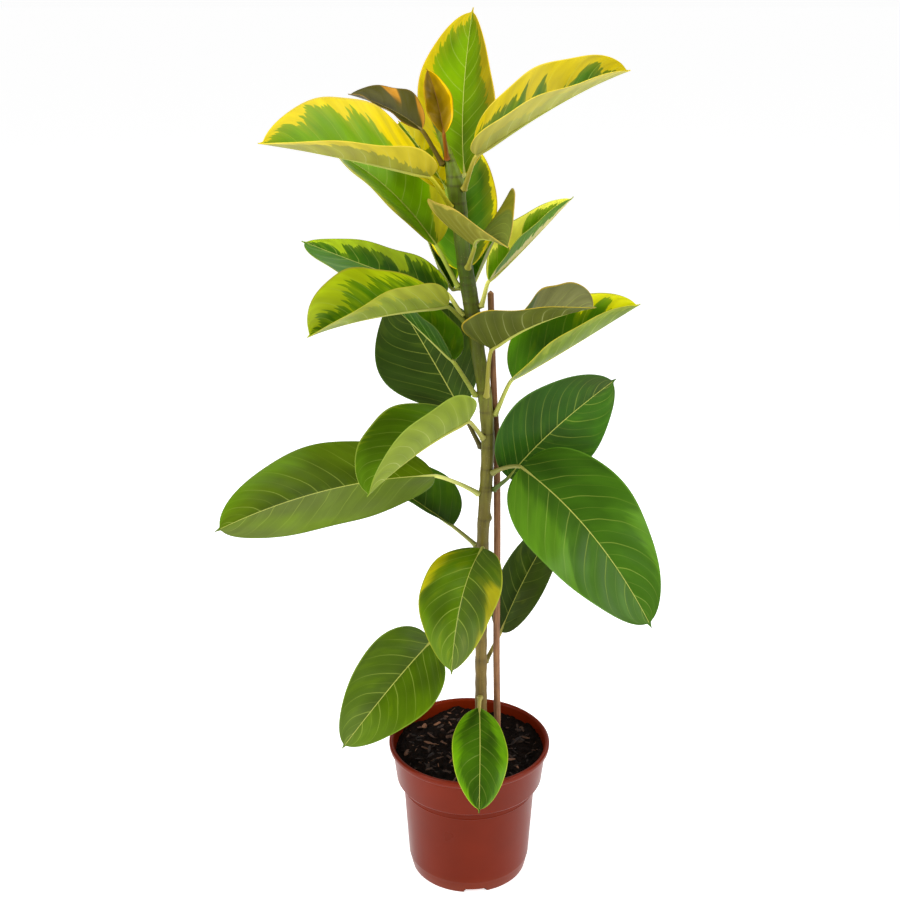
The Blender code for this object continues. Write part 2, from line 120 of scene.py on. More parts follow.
def softbox(name, at, size, power, aim=(0, 0, 0.45)):
    """A square area light that faces the plant."""
    light = bpy.data.lights.new(name, "AREA")
    light.size = size
    light.energy = power
    lamp = bpy.data.objects.new(name, light)
    lamp.location = at
    lamp.rotation_euler = (Vector(aim) - Vector(at)).to_track_quat("-Z", "Y").to_euler()
    bpy.context.scene.collection.objects.link(lamp)
    return lamp


softbox("left_softbox", (-1.6, -1.0, 1.5), 1.1, 34)
softbox("right_softbox", (1.7, -0.6, 1.1), 0.9, 22)
softbox("top_softbox", (-0.2, -0.3, 2.3), 1.2, 22)
softbox("back_softbox", (0.5, 1.7, 1.3), 1.2, 6)

# %% The floor
FLOOR_SIZE = 60
FLOOR_GLOW = 0.75


def principled(name, base, roughness, **settings):
    """A new material's node tree and its Principled shader, with plain values on its sockets."""
    made = bpy.data.materials.new(name)
    made.use_nodes = True
    tree = made.node_tree
    shader = tree.nodes["Principled BSDF"]
    shader.inputs["Base Color"].default_value = base
    shader.inputs["Roughness"].default_value = roughness
    for socket, value in settings.items():
        shader.inputs[socket.replace("_", " ")].default_value = value
    return made, tree, shader


edit = bmesh.new()
bmesh.ops.create_grid(edit, x_segments=1, y_segments=1, size=FLOOR_SIZE / 2)
mesh = bpy.data.meshes.new("floor")
edit.to_mesh(mesh)
edit.free()
# Opal acrylic, sanded matt and lit from below: it glows evenly, without a horizon or a reflection.
opal = principled("opal_light_table", paint("e8e8e8"), 0.9, Specular_IOR_Level=0.1,
                  Emission_Color=paint("ffffff"), Emission_Strength=FLOOR_GLOW)
mesh.materials.append(opal[0])
floor = bpy.data.objects.new("floor", mesh)
bpy.context.scene.collection.objects.link(floor)
print("floor", FLOOR_SIZE, "m wide")

# %% [markdown]
# ## Shared tools
#
# Every finished piece goes through one function, which gives it its materials, lets it ride on the one body
# and hides the CAD node that it stands for. It shades the piece smooth, apart from the edges where two faces
# meet at a sharp angle.

# %% Finishing a piece
SHARP = math.radians(40)


def finish_piece(name, edit, finishes, node):
    """The finished object of a bmesh, riding on the body in place of its CAD node."""
    mesh = bpy.data.meshes.new(name)
    edit.to_mesh(mesh)
    edit.free()
    for finish in finishes:
        mesh.materials.append(finish)
    mesh.shade_smooth()
    mesh.set_sharp_from_angle(angle=SHARP)
    piece = bpy.data.objects.new(name, mesh)
    bpy.context.scene.collection.objects.link(piece)
    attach(piece, BODY)
    if node:
        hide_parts(node)
    return piece


print("edges of more than", round(math.degrees(SHARP)), "degrees stay sharp")

# %% [markdown]
# ## The nursery pot
#
# The pot is injection moulded from polypropylene with a brick-red pigment: a rolled rim, a straight collar
# by which pots nest, a step, and a body that tapers to a foot with four notches. A mould makes it a solid
# of revolution, so a profile is drawn once, its corners are rounded, and it is spun. The drainage holes and
# the notches are cut afterwards, as the mould's pins do.

# %% The pot's profile
POT_HEIGHT = 0.150
RIM_RADIUS = 0.085
RIM_FOOT = 0.143
COLLAR_TOP_RADIUS = 0.0812
COLLAR_FOOT_RADIUS = 0.0772
COLLAR_FOOT = 0.1075
BODY_TOP_RADIUS = 0.0700
BODY_TOP = 0.1030
BODY_FOOT_RADIUS = 0.0647
BODY_FOOT = 0.0140
FOOT_RADIUS = 0.0615
WALL = 0.0022
CHANNEL_DEPTH = 0.0050
CHANNEL_INNER_RADIUS = 0.0360
CHANNEL_OUTER_RADIUS = 0.0580
POT_STEPS = 160
MOULD_ROUNDING = 0.0006
BEAD_HEIGHT = 0.0966
BEAD = 0.0003


def inner_wall(gap=0.0):
    """The pot's inner face from the axis up to the collar's foot, moved inwards by a gap."""
    return [
        (0, WALL + gap),
        (CHANNEL_INNER_RADIUS - 1.5 * WALL - gap, WALL + gap),
        (CHANNEL_INNER_RADIUS, CHANNEL_DEPTH + WALL + gap),
        (BODY_FOOT_RADIUS - 2 * WALL - gap, CHANNEL_DEPTH + WALL + gap),
        (BODY_FOOT_RADIUS - WALL - gap, BODY_FOOT),
        (BODY_TOP_RADIUS - WALL - gap, BODY_TOP - 0.4 * WALL + gap),
        (COLLAR_FOOT_RADIUS - 1.8 * WALL - gap, COLLAR_FOOT - 0.8 * WALL + gap),
        (COLLAR_FOOT_RADIUS - WALL - gap, COLLAR_FOOT + gap),
    ]


pot_profile = [
    (0, 0),
    (CHANNEL_INNER_RADIUS - 0.001, 0),
    (CHANNEL_INNER_RADIUS, CHANNEL_DEPTH),
    (CHANNEL_OUTER_RADIUS, CHANNEL_DEPTH),
    (CHANNEL_OUTER_RADIUS + 0.0005, 0),
    (FOOT_RADIUS - 0.001, 0),
    (FOOT_RADIUS, 0.001),
    (BODY_FOOT_RADIUS - 0.0008, BODY_FOOT - 0.002),
    (BODY_FOOT_RADIUS, BODY_FOOT + 0.001),
    (BODY_TOP_RADIUS - 0.0003, BEAD_HEIGHT - 2 * BEAD),
    (BODY_TOP_RADIUS + BEAD, BEAD_HEIGHT),
    (BODY_TOP_RADIUS - 0.0002, BEAD_HEIGHT + 2 * BEAD),
    (BODY_TOP_RADIUS, BODY_TOP),
    (BODY_TOP_RADIUS + 0.0015, BODY_TOP + 0.0015),
    (COLLAR_FOOT_RADIUS - 0.0015, COLLAR_FOOT - 0.0015),
    (COLLAR_FOOT_RADIUS, COLLAR_FOOT + 0.0005),
    (COLLAR_TOP_RADIUS, RIM_FOOT - 0.002),
    (RIM_RADIUS - 0.0006, RIM_FOOT + 0.0008),
    (RIM_RADIUS, RIM_FOOT + 0.003),
    (RIM_RADIUS, POT_HEIGHT - 0.0012),
    (RIM_RADIUS - 0.0012, POT_HEIGHT),
    (COLLAR_TOP_RADIUS + 0.001, POT_HEIGHT),
    (COLLAR_TOP_RADIUS - 0.001, POT_HEIGHT - 0.0015),
    (COLLAR_TOP_RADIUS - WALL, RIM_FOOT),
]
pot_profile += reversed(inner_wall())
print("points of the pot's profile:", len(pot_profile))

# %% [markdown]
# Spin needs a full turn and a merge, so that its last step meets its first. The bevel on the profile's
# points gives each moulded corner its small radius before the turn.

# %% The profile, spun


def turned(profile, steps, rounding=0.0):
    """A bmesh of revolution about Z, from a profile that starts and ends on the axis."""
    edit = bmesh.new()
    verts = [edit.verts.new((radius, 0, height)) for radius, height in profile]
    for pair in zip(verts, verts[1:]):
        edit.edges.new(pair)
    if rounding:
        bmesh.ops.bevel(edit, geom=verts[1:-1], offset=rounding, affect="VERTICES", segments=3, profile=0.5,
                        material=-1, clamp_overlap=True)
    bmesh.ops.spin(edit, geom=edit.verts[:] + edit.edges[:], axis=(0, 0, 1), cent=(0, 0, 0), dvec=(0, 0, 0),
                   angle=2 * math.pi, steps=steps, use_merge=True)
    bmesh.ops.remove_doubles(edit, verts=edit.verts, dist=1e-6)
    bmesh.ops.recalc_face_normals(edit, faces=edit.faces)
    return edit


pot_edit = turned(pot_profile, POT_STEPS, MOULD_ROUNDING)
print("pot faces before its holes:", len(pot_edit.faces))

# %% The pot's holes and notches
HOLE_COUNT = 8
HOLE_SIDES = 32
HOLE_RADIUS = 0.0045
HOLE_CIRCLE = 0.0470
NOTCH_COUNT = 4
NOTCH_WIDTH = 0.0240
NOTCH_REACH = 0.0080
NOTCH_TURN = math.radians(-84)
NOTCH_HEIGHT = 0.0047


def cutters():
    """The pins of the mould: eight for the drainage holes, and four blocks for the notches in the foot."""
    edit = bmesh.new()
    for i in range(HOLE_COUNT):
        angle = 2 * math.pi * (i + 0.5) / HOLE_COUNT
        pin = bmesh.ops.create_cone(edit, cap_ends=True, segments=HOLE_SIDES, radius1=HOLE_RADIUS,
                                    radius2=HOLE_RADIUS, depth=4 * WALL)
        at = (HOLE_CIRCLE * math.cos(angle), HOLE_CIRCLE * math.sin(angle), CHANNEL_DEPTH + WALL / 2)
        bmesh.ops.translate(edit, verts=pin["verts"], vec=at)
    for i in range(NOTCH_COUNT):
        angle = NOTCH_TURN + 2 * math.pi * i / NOTCH_COUNT
        block = bmesh.ops.create_cube(edit, size=1)["verts"]
        bmesh.ops.scale(edit, verts=block, vec=(NOTCH_REACH, NOTCH_WIDTH, 2 * NOTCH_HEIGHT))
        bmesh.ops.translate(edit, verts=block, vec=(FOOT_RADIUS, 0, 0))
        bmesh.ops.rotate(edit, verts=block, cent=(0, 0, 0), matrix=Matrix.Rotation(angle, 3, "Z"))
    mesh = bpy.data.meshes.new("pins")
    edit.to_mesh(mesh)
    edit.free()
    return bpy.data.objects.new("pins", mesh)


pins = cutters()
print("faces of the mould's pins:", len(pins.data.polygons))

# %% [markdown]
# Most finishes here are built the same way: a ground colour, thin coats over it that each show where a
# pattern says so, and a fine relief. Two small helpers do that for every material. A third turns the size
# in millimetres of what a pattern draws into its scale, since the coordinates are in metres.

# %% Coats and relief


def coats(tree, ground, *layers):
    """Coats of colour over a ground. Each says how much of it shows, its colour, and how it mixes."""
    for share, colour, *way in layers:
        coat = add_node(tree, "Mix", {0: share, 6: ground, 7: colour}, data_type="RGBA",
                        blend_type=way[0] if way else "MIX")
        ground = coat.outputs[2]
    return ground


def skin(tree, shader, colour, relief, strength, depth):
    """Colours a shader and gives it a fine relief."""
    tree.links.new(colour, shader.inputs["Base Color"])
    bump = add_node(tree, "Bump", {"Strength": strength, "Distance": depth, "Height": relief})
    tree.links.new(bump.outputs[0], shader.inputs["Normal"])


def scale_of(size_mm):
    """A pattern's scale from the size of what it draws."""
    return 1000 / size_mm


print("scale of a 2 mm grain:", scale_of(2))

# %% [markdown]
# Polypropylene straight from the mould has a satin skin. Its highlight is soft and broad, its colour is
# slightly clouded, and it has a very fine orange peel. Splashed water leaves a paler bloom near the foot.

# %% The pot's plastic
POT_CLOUD_MM = 71.4
# A mould's real orange peel is about 0.3 mm across. That is too fine to show, so it is drawn coarser.
ORANGE_PEEL_MM = 1.11
BLOOM_HEIGHT = 0.02
BLOOM_SHARE = 0.35
SATIN = (0.26, 0.36)


def pot_plastic():
    """Injection-moulded polypropylene, brick red: the clouding sets both its tone and its gloss."""
    made, tree, shader = principled("moulded_polypropylene", paint("6b1d03"), 0.3, IOR=1.49,
                                    Specular_IOR_Level=0.1)
    at = add_node(tree, "TexCoord").outputs["Object"]
    cloud = add_node(tree, "TexNoise", {"Vector": at, "Scale": scale_of(POT_CLOUD_MM), "Detail": 4.0})
    tone = add_node(tree, "MapRange", {0: cloud, 1: 0.3, 2: 0.7})
    height = add_node(tree, "SeparateXYZ", {0: at}).outputs[2]
    low = add_node(tree, "MapRange", {0: height, 1: BLOOM_HEIGHT, 2: 0.0, 3: 0.0, 4: BLOOM_SHARE})
    patchy = add_node(tree, "Math", {0: low, 1: cloud}, operation="MULTIPLY")
    colour = coats(tree, paint("641a02"), (tone, paint("701e03")), (patchy, paint("96502e")))
    gloss = add_node(tree, "MapRange", {0: cloud, 1: 0.3, 2: 0.7, 3: SATIN[0], 4: SATIN[1]})
    tree.links.new(gloss.outputs[0], shader.inputs["Roughness"])
    peel = add_node(tree, "TexNoise", {"Vector": at, "Scale": scale_of(ORANGE_PEEL_MM), "Detail": 1.0})
    skin(tree, shader, colour, peel, 0.08, 0.0002)
    return made


pot = finish_piece("nursery_pot", pot_edit, [pot_plastic()], "pot")
print("pot clouding:", POT_CLOUD_MM, "mm, orange peel:", ORANGE_PEEL_MM, "mm")

# %% The holes, cut
bpy.context.scene.collection.objects.link(pins)
boolean = pot.modifiers.new("pins", "BOOLEAN")
boolean.operation = "DIFFERENCE"
boolean.object = pins
bpy.context.view_layer.update()
holed = bpy.data.meshes.new_from_object(pot.evaluated_get(bpy.context.evaluated_depsgraph_get()))
pot.modifiers.clear()
pot.data = holed
holed.shade_smooth()
holed.set_sharp_from_angle(angle=SHARP)
bpy.data.objects.remove(pins)
print("pot faces:", len(holed.polygons))

# %% [markdown]
# ## The potting mix
#
# The mix is dark peat with composted bark. Its surface is uneven at two scales: the soft hollows left by
# watering, and crumbs of a few millimetres. A displacement modifier could lift it, but a height worked out
# in code also tells the chips where to lie. So the surface is spun with fine rings, and noise lifts its
# points.

# %% The mix and its surface
SOIL_HEIGHT = 0.1385
SOIL_BUMP = 0.0016
SOIL_WAVES = ((93, 40, 0), (-120, 71, 1))
SOIL_RINGS = 70
SOIL_STEPS = 180
GAP = 0.0003
CRUMB = 0.0024
CRUMBS_PER_M = 160
GRAIN = 0.0009
GRAINS_PER_M = 900


def soil_height(x, y):
    """The surface of the mix: the CAD model's waves, with crumbs on them."""
    waves = SOIL_BUMP * sum(math.sin(a * x + b * y + phase) for a, b, phase in SOIL_WAVES)
    crumbs = CRUMB * (noise.fractal(Vector((x, y, 0)) * CRUMBS_PER_M, 0.9, 2.1, 3) + 0.1)
    grains = GRAIN * noise.noise(Vector((x, y, 1)) * GRAINS_PER_M)
    return SOIL_HEIGHT + waves + crumbs + grains


collar_at_soil = np.interp(SOIL_HEIGHT, (COLLAR_FOOT, RIM_FOOT), (COLLAR_FOOT_RADIUS, COLLAR_TOP_RADIUS))
mix_edge = collar_at_soil - WALL - GAP
surface = [(mix_edge * (1 - i / SOIL_RINGS), SOIL_HEIGHT) for i in range(SOIL_RINGS + 1)]
mix_edit = turned(inner_wall(GAP) + surface, SOIL_STEPS)
for vert in mix_edit.verts:
    if vert.co.z > SOIL_HEIGHT - GAP:
        vert.co.z = soil_height(vert.co.x, vert.co.y)
print("mix radius", round(mix_edge, 4))

# %% [markdown]
# Wet peat is one of the darkest things in a pot: water fills its fibres, so hardly any light comes back and
# it has next to no gloss. What the eye finds is its grain, so a crumb pattern drives both colour and
# relief, and rare paler grains of grit or root break it up.

# %% Moist peat
PEAT_MM = 3.85
GRIT_MM = 2.38


def potting_mix():
    """Moist milled peat: nearly black and matt, since water fills its fibres, with a few paler grains."""
    made, tree, shader = principled("moist_peat", paint("120a05"), 0.85, Specular_IOR_Level=0.08)
    at = add_node(tree, "TexCoord").outputs["Object"]
    crumb = add_node(tree, "TexNoise", {"Vector": at, "Scale": scale_of(PEAT_MM), "Detail": 6.0,
                                        "Roughness": 0.7})
    tone = add_node(tree, "MapRange", {0: crumb, 1: 0.42, 2: 0.72})
    grit = add_node(tree, "TexVoronoi", {"Vector": at, "Scale": scale_of(GRIT_MM)})
    speck = add_node(tree, "MapRange", {0: grit.outputs["Color"], 1: 0.93, 2: 0.97, 3: 0.0, 4: 0.3})
    colour = coats(tree, paint("070402"), (tone, paint("22130b")), (speck, paint("5b3a26")))
    skin(tree, shader, colour, crumb, 0.9, 0.002)
    return made


finish_piece("potting_mix", mix_edit, [potting_mix()], "soil")
print("peat crumbs:", PEAT_MM, "mm")

# %% [markdown]
# The bark in the mix is milled to flat slivers that lie pressed in at all angles. Each chip is a cube, cut
# once across each face, squeezed, roughened and laid on the mix. With so few faces a chip stays light, and
# 190 of them make one piece. A tone on each chip's points lets the finish tell a dark plate from a pale
# split face.

# %% Bark chips
CHIPS = 190
CHIP_MM = (4, 16)
CHIP_WIDTH = (0.16, 0.42)
CHIP_THICKNESS = (0.08, 0.18)
CHIP_SINKS = (-0.3, 0.6)
CHIP_PITCH = 0.3
CHIP_ROLL = 0.35
CHIP_TAPER = 0.45
CHIP_ROUGHNESS = 0.05
PALE_ARE_RARE = 3
BARK_GRAIN_MM = 2
rng = np.random.default_rng(17)


def bark_chips():
    """One bmesh of flat slivers with a tone for each, scattered on the mix."""
    edit = bmesh.new()
    tone = edit.verts.layers.float.new("tone")
    for _ in range(CHIPS):
        length = rng.uniform(*CHIP_MM) / 1000
        size = np.array([length, length * rng.uniform(*CHIP_WIDTH), length * rng.uniform(*CHIP_THICKNESS)])
        reach = (mix_edge - length / 2 - 0.001) * math.sqrt(rng.random())
        turn = rng.uniform(0, 2 * math.pi)
        x, y = reach * math.cos(turn), reach * math.sin(turn)
        first = len(edit.verts)
        chip = bmesh.ops.create_cube(edit, size=1)["verts"]
        edges = list({edge for vert in chip for edge in vert.link_edges})
        bmesh.ops.subdivide_edges(edit, edges=edges, cuts=1, use_grid_fill=True)
        edit.verts.ensure_lookup_table()
        verts = edit.verts[first:]
        yaw, pitch, roll = rng.uniform(0, 2 * math.pi), rng.normal(0, CHIP_PITCH), rng.normal(0, CHIP_ROLL)
        lay = np.array(Euler((roll, pitch, yaw)).to_matrix())
        at = np.array([x, y, soil_height(x, y) + rng.uniform(*CHIP_SINKS) * size[2]])
        shade = rng.random() ** PALE_ARE_RARE
        for vert in verts:
            point = np.array(vert.co)
            point = point * (1 - CHIP_TAPER * (np.abs(point).sum() - 0.5)) + rng.normal(0, CHIP_ROUGHNESS, 3)
            vert.co = at + lay @ (point * size)
            vert[tone] = shade
    bmesh.ops.recalc_face_normals(edit, faces=edit.faces)
    return edit


def bark():
    """Composted pine bark, milled to slivers: dark brown and dull, with a pale split face here and there."""
    made, tree, shader = principled("composted_bark", paint("33201a"), 0.7, Specular_IOR_Level=0.3)
    at = add_node(tree, "TexCoord").outputs["Object"]
    shade = add_node(tree, "Attribute", attribute_name="tone").outputs["Fac"]
    grain = add_node(tree, "TexNoise", {"Vector": at, "Scale": scale_of(BARK_GRAIN_MM), "Detail": 4.0})
    mixed = add_node(tree, "Math", {0: grain, 1: 0.5, 2: shade}, operation="MULTIPLY_ADD")
    tone = add_node(tree, "MapRange", {0: mixed, 1: 0.2, 2: 1.25})
    skin(tree, shader, coats(tree, paint("120a06"), (tone, paint("80563c"))), grain, 0.6, 0.0006)
    return made


chips = finish_piece("bark_chips", bark_chips(), [bark()], None)
print("bark chips:", CHIPS, "faces:", len(chips.data.polygons))

# %% [markdown]
# ## The leaves' table
#
# Each leaf is told by a few measures, the same ones that its solid has: where its petiole leaves the stem,
# the base, middle and tip of its midrib, where its upper side faces, its width, how its halves fold up and
# curl, how far the blade twists, and the skew and fullness of its outline.

# %% The young leaves and the top ones
OVAL_SKEW = 0.88
OVAL_FULLNESS = 0.58
Leaf = namedtuple("Leaf", "name leaves_stem base middle tip face width left right twist skew fullness",
                  defaults=(0, OVAL_SKEW, OVAL_FULLNESS))
LEAVES = (
    Leaf("leaf_01", 0.757, (-0.026, -0.015, 0.781), (-0.032, -0.013, 0.810), (-0.041, -0.016, 0.837),
         (0.25, -0.93, 0.26), 0.029, (24, -2), (33, 11), -4, 0.91, 0.68),
    Leaf("leaf_02", 0.752, (-0.046, -0.005, 0.783), (-0.075, 0.007, 0.800), (-0.113, 0.020, 0.812),
         (0.22, -0.29, 0.93), 0.047, (16, 13), (30, 24), 21, 0.92, 0.63),
    Leaf("leaf_03", 0.738, (-0.007, 0.012, 0.741), (-0.008, 0.040, 0.805), (0.001, 0.055, 0.886),
         (-0.39, -0.82, 0.42), 0.086, (24, 3), (22, 8), -30, 1.07, 0.57),
    Leaf("leaf_04", 0.730, (0.004, -0.018, 0.762), (0.071, -0.038, 0.807), (0.134, -0.050, 0.838),
         (-0.40, -0.24, 0.88), 0.083, (42, 5), (42, -7), 15, 0.74, 0.50),
    Leaf("leaf_05", 0.714, (-0.039, -0.026, 0.744), (-0.106, -0.081, 0.767), (-0.177, -0.126, 0.786),
         (0.29, -0.12, 0.95), 0.109, (34, 2), (49, 15), -14, 0.92, 0.62),
    Leaf("leaf_06", 0.705, (-0.024, 0.014, 0.727), (-0.044, 0.030, 0.756), (-0.069, 0.050, 0.785),
         (0.3, -0.8, 0.5), 0.050, (15, 5), (15, 5)),
)
print("leaves so far:", len(LEAVES))

# %% More leaves with broad yellow margins
LEAVES += (
    Leaf("leaf_07", 0.645, (-0.008, 0.018, 0.650), (-0.010, 0.056, 0.707), (-0.004, 0.100, 0.762),
         (0.0, -1.0, 0.3), 0.073, (8, 5), (15, 5)),
    Leaf("leaf_08", 0.658, (0.002, -0.028, 0.682), (0.008, -0.061, 0.695), (0.029, -0.116, 0.698),
         (-0.20, 0.71, 0.68), 0.113, (45, 14), (41, -1), 19, 0.63, 0.72),
    Leaf("leaf_09", 0.638, (-0.034, 0.004, 0.677), (-0.076, 0.026, 0.723), (-0.126, 0.056, 0.753),
         (0.4, -0.8, 0.5), 0.092, (45, 0), (5, 5)),
    Leaf("leaf_10", 0.632, (-0.018, 0.024, 0.630), (-0.036, 0.074, 0.653), (-0.043, 0.125, 0.691),
         (0.2, -0.5, 0.8), 0.066, (60, 5), (55, 5)),
    Leaf("leaf_11", 0.628, (0.001, 0.018, 0.635), (0.017, 0.070, 0.654), (0.038, 0.115, 0.685),
         (-0.2, -0.5, 0.8), 0.064, (56, 5), (62, 5)),
    Leaf("leaf_12", 0.620, (0.016, -0.004, 0.644), (0.051, 0.008, 0.675), (0.095, 0.020, 0.719),
         (-0.42, -0.68, 0.59), 0.053, (38, 8), (74, 2), -14, 0.93, 0.66),
)
print("leaves so far:", len(LEAVES))

# %% The leaves in the middle, mottled with lime
LEAVES += (
    Leaf("leaf_13", 0.610, (-0.024, 0.000, 0.632), (-0.092, 0.030, 0.648), (-0.165, 0.062, 0.669),
         (0.2, -0.30, 0.95), 0.080, (4, 5), (8, 5)),
    Leaf("leaf_14", 0.604, (-0.023, -0.018, 0.623), (-0.089, -0.062, 0.624), (-0.145, -0.105, 0.617),
         (0.21, -0.02, 0.98), 0.098, (50, -1), (46, 3), -24, 0.98, 0.47),
    Leaf("leaf_15", 0.533, (0.019, -0.032, 0.586), (0.057, -0.071, 0.620), (0.106, -0.106, 0.644),
         (-0.54, 0.13, 0.83), 0.099, (2, 47), (52, -20), 32, 0.60, 0.43),
    Leaf("leaf_16", 0.532, (-0.018, -0.008, 0.568), (-0.049, 0.020, 0.590), (-0.091, 0.045, 0.622),
         (0.5, -0.6, 0.6), 0.070, (60, 10), (10, 5)),
    Leaf("leaf_17", 0.512, (0.040, -0.002, 0.548), (0.095, -0.021, 0.587), (0.153, -0.044, 0.632),
         (-0.47, -0.64, 0.60), 0.095, (24, 6), (61, 18), -27, 0.84, 0.58),
    Leaf("leaf_18", 0.490, (-0.003, -0.026, 0.513), (-0.048, -0.099, 0.509), (-0.092, -0.164, 0.491),
         (-0.16, 0.01, 0.99), 0.109, (55, 5), (30, 1), 22, 0.86, 0.56),
    Leaf("leaf_19", 0.476, (-0.008, 0.020, 0.507), (-0.043, 0.052, 0.561), (-0.078, 0.070, 0.617),
         (0.03, -0.85, 0.52), 0.110, (7, 4), (12, 2), -1, 1.02, 0.80),
)
print("leaves so far:", len(LEAVES))

# %% The lower leaves
LEAVES += (
    Leaf("leaf_20", 0.453, (0.048, -0.030, 0.468), (0.115, -0.065, 0.412), (0.172, -0.090, 0.327),
         (0.18, -0.74, 0.64), 0.119, (5, -2), (5, 0), 2, 0.72, 0.54),
    Leaf("leaf_21", 0.434, (0.037, -0.005, 0.448), (0.080, 0.006, 0.493), (0.142, 0.022, 0.541),
         (0.25, -1.0, 0.1), 0.098, (8, 0), (8, 0)),
    Leaf("leaf_22", 0.430, (-0.036, -0.019, 0.455), (-0.139, -0.051, 0.452), (-0.241, -0.079, 0.422),
         (-0.03, -0.59, 0.80), 0.098, (15, -3), (12, -1), -13, 0.92, 0.55),
    Leaf("leaf_23", 0.372, (-0.018, 0.012, 0.389), (-0.057, 0.040, 0.406), (-0.124, 0.070, 0.444),
         (0.3, -0.8, 0.5), 0.080, (65, 0), (8, 0)),
    Leaf("leaf_24", 0.355, (0.011, -0.033, 0.384), (-0.009, -0.080, 0.353), (-0.019, -0.116, 0.291),
         (-0.46, -0.70, 0.54), 0.084, (10, -5), (23, -6), 2, 0.92, 0.66),
    Leaf("leaf_25", 0.265, (-0.039, -0.019, 0.276), (-0.079, -0.055, 0.244), (-0.128, -0.079, 0.187),
         (0.21, -0.88, 0.42), 0.088, (5, 2), (10, -2), 2, 0.77, 0.58),
    Leaf("leaf_26", 0.238, (0.033, 0.025, 0.263), (0.062, 0.046, 0.323), (0.095, 0.079, 0.365),
         (0.05, -0.84, 0.54), 0.056, (14, 22), (31, 7), 5, 0.84, 0.57),
    Leaf("leaf_27", 0.203, (0.010, -0.013, 0.194), (0.010, -0.059, 0.175), (0.008, -0.119, 0.139),
         (0.16, -0.55, 0.82), 0.059, (2, -16), (9, -9), -9, 1.16, 0.57),
)
print("leaves:", len(LEAVES))

# %% [markdown]
# ## The stem and the stake
#
# A fig's stem is ringed: each leaf leaves a scar, and the sheath of its bud a fine ring right round. It is
# green and smooth at the top and turns to brown bark below. A skin modifier would round it well but could
# not ring it, so the stem is a tube along a curve, and its radius gets those rings and a swelling under
# each petiole.
#
# First come two helpers, which the stake and the leaves' stalks share. One draws a smooth line through a few
# points. The other makes a tube along it: a grid from bmesh is rolled up, and its vertices are moved to where
# the real surface is, so each ring of the tube can have its own shape.

# %% A smooth path


def smooth_path(points, count):
    """Even points of the Catmull-Rom curve through these rows, which may carry a radius too."""
    rows = np.array(points, float)
    rows = np.vstack([2 * rows[0] - rows[1], rows, 2 * rows[-1] - rows[-2]])
    found = []
    for place in np.linspace(0, len(points) - 1, count):
        i = min(int(place), len(points) - 2)
        t = place - i
        a, b, c, d = rows[i : i + 4]
        found.append(b + 0.5 * t * (c - a + t * (2 * a - 5 * b + 4 * c - d + t * (3 * (b - c) + d - a))))
    return np.array(found)


print("middle of a smooth path:", smooth_path(((0, 0), (1, 1), (2, 0)), 3)[1])

# %% A tube along a path


def unit(vectors):
    """The same directions with length one, for one vector or rows of them."""
    return vectors / np.linalg.norm(vectors, axis=-1, keepdims=True)


def tube(edit, path, radii, sides, start_side=(0, -1, 0)):
    """Adds a closed tube along a path and returns its vertices. The radii are a row of numbers or a function.

    It is a grid, rolled up and merged along its seam, and its two ends shrink to a point.
    """
    before = set(edit.verts)
    bmesh.ops.create_grid(edit, x_segments=len(path) - 1, y_segments=sides, size=0.5)
    verts = [v for v in edit.verts if v not in before]
    side = np.array(start_side, float)
    frames = []
    for heading in unit(np.gradient(path, axis=0)):
        side = unit(side - side.dot(heading) * heading)
        frames.append((side, np.cross(heading, side)))
    for vert in verts:
        along, around = vert.co.x + 0.5, vert.co.y + 0.5
        i = round(along * (len(path) - 1))
        angle = 2 * math.pi * around
        first, second = frames[i]
        spoke = math.cos(angle) * first + math.sin(angle) * second
        grow = radii(i, angle) if callable(radii) else radii[i]
        if i in (0, len(path) - 1):
            grow = 0
        vert.co = path[i] + spoke * grow
    bmesh.ops.remove_doubles(edit, verts=verts, dist=1e-7)
    return [v for v in verts if v.is_valid]


trial = bmesh.new()
tube(trial, smooth_path(((0, 0, 0), (0, 0, 1)), 4), [0.1] * 4, 8)
print("faces of a trial tube with 3 steps and 8 sides:", len(trial.faces))
trial.free()

# %% The stem's line
# Each row is a point on the stem's axis and the radius there, in metres.
STEM = (
    (0.0125, 0.000, 0.070, 0.0062),
    (0.0125, 0.000, 0.150, 0.0062),
    (0.0118, 0.000, 0.250, 0.0059),
    (0.0122, 0.000, 0.320, 0.0058),
    (0.0128, 0.000, 0.390, 0.0060),
    (0.0156, 0.000, 0.445, 0.0062),
    (0.0165, 0.000, 0.490, 0.0064),
    (0.0130, 0.000, 0.532, 0.0066),
    (0.0060, 0.000, 0.577, 0.0069),
    (-0.0010, 0.000, 0.625, 0.0071),
    (-0.0073, 0.000, 0.664, 0.0070),
    (-0.0115, 0.000, 0.700, 0.0074),
    (-0.0150, 0.001, 0.732, 0.0078),
    (-0.0200, 0.003, 0.752, 0.0052),
    (-0.0238, 0.007, 0.764, 0.0040),
    (-0.0300, 0.011, 0.778, 0.0026),
    (-0.0370, 0.014, 0.790, 0.0008),
)
STEM_STEPS = 420
rows = smooth_path(STEM, STEM_STEPS)
stem_path, stem_radius = rows[:, :3], rows[:, 3]


def stem_at(height):
    """The stem's axis point and radius at this height."""
    table = np.array(STEM)
    return np.array([np.interp(height, table[:, 2], table[:, k]) for k in range(4)])


print("stem's greatest thickness:", round(2000 * stem_radius.max(), 1), "mm")

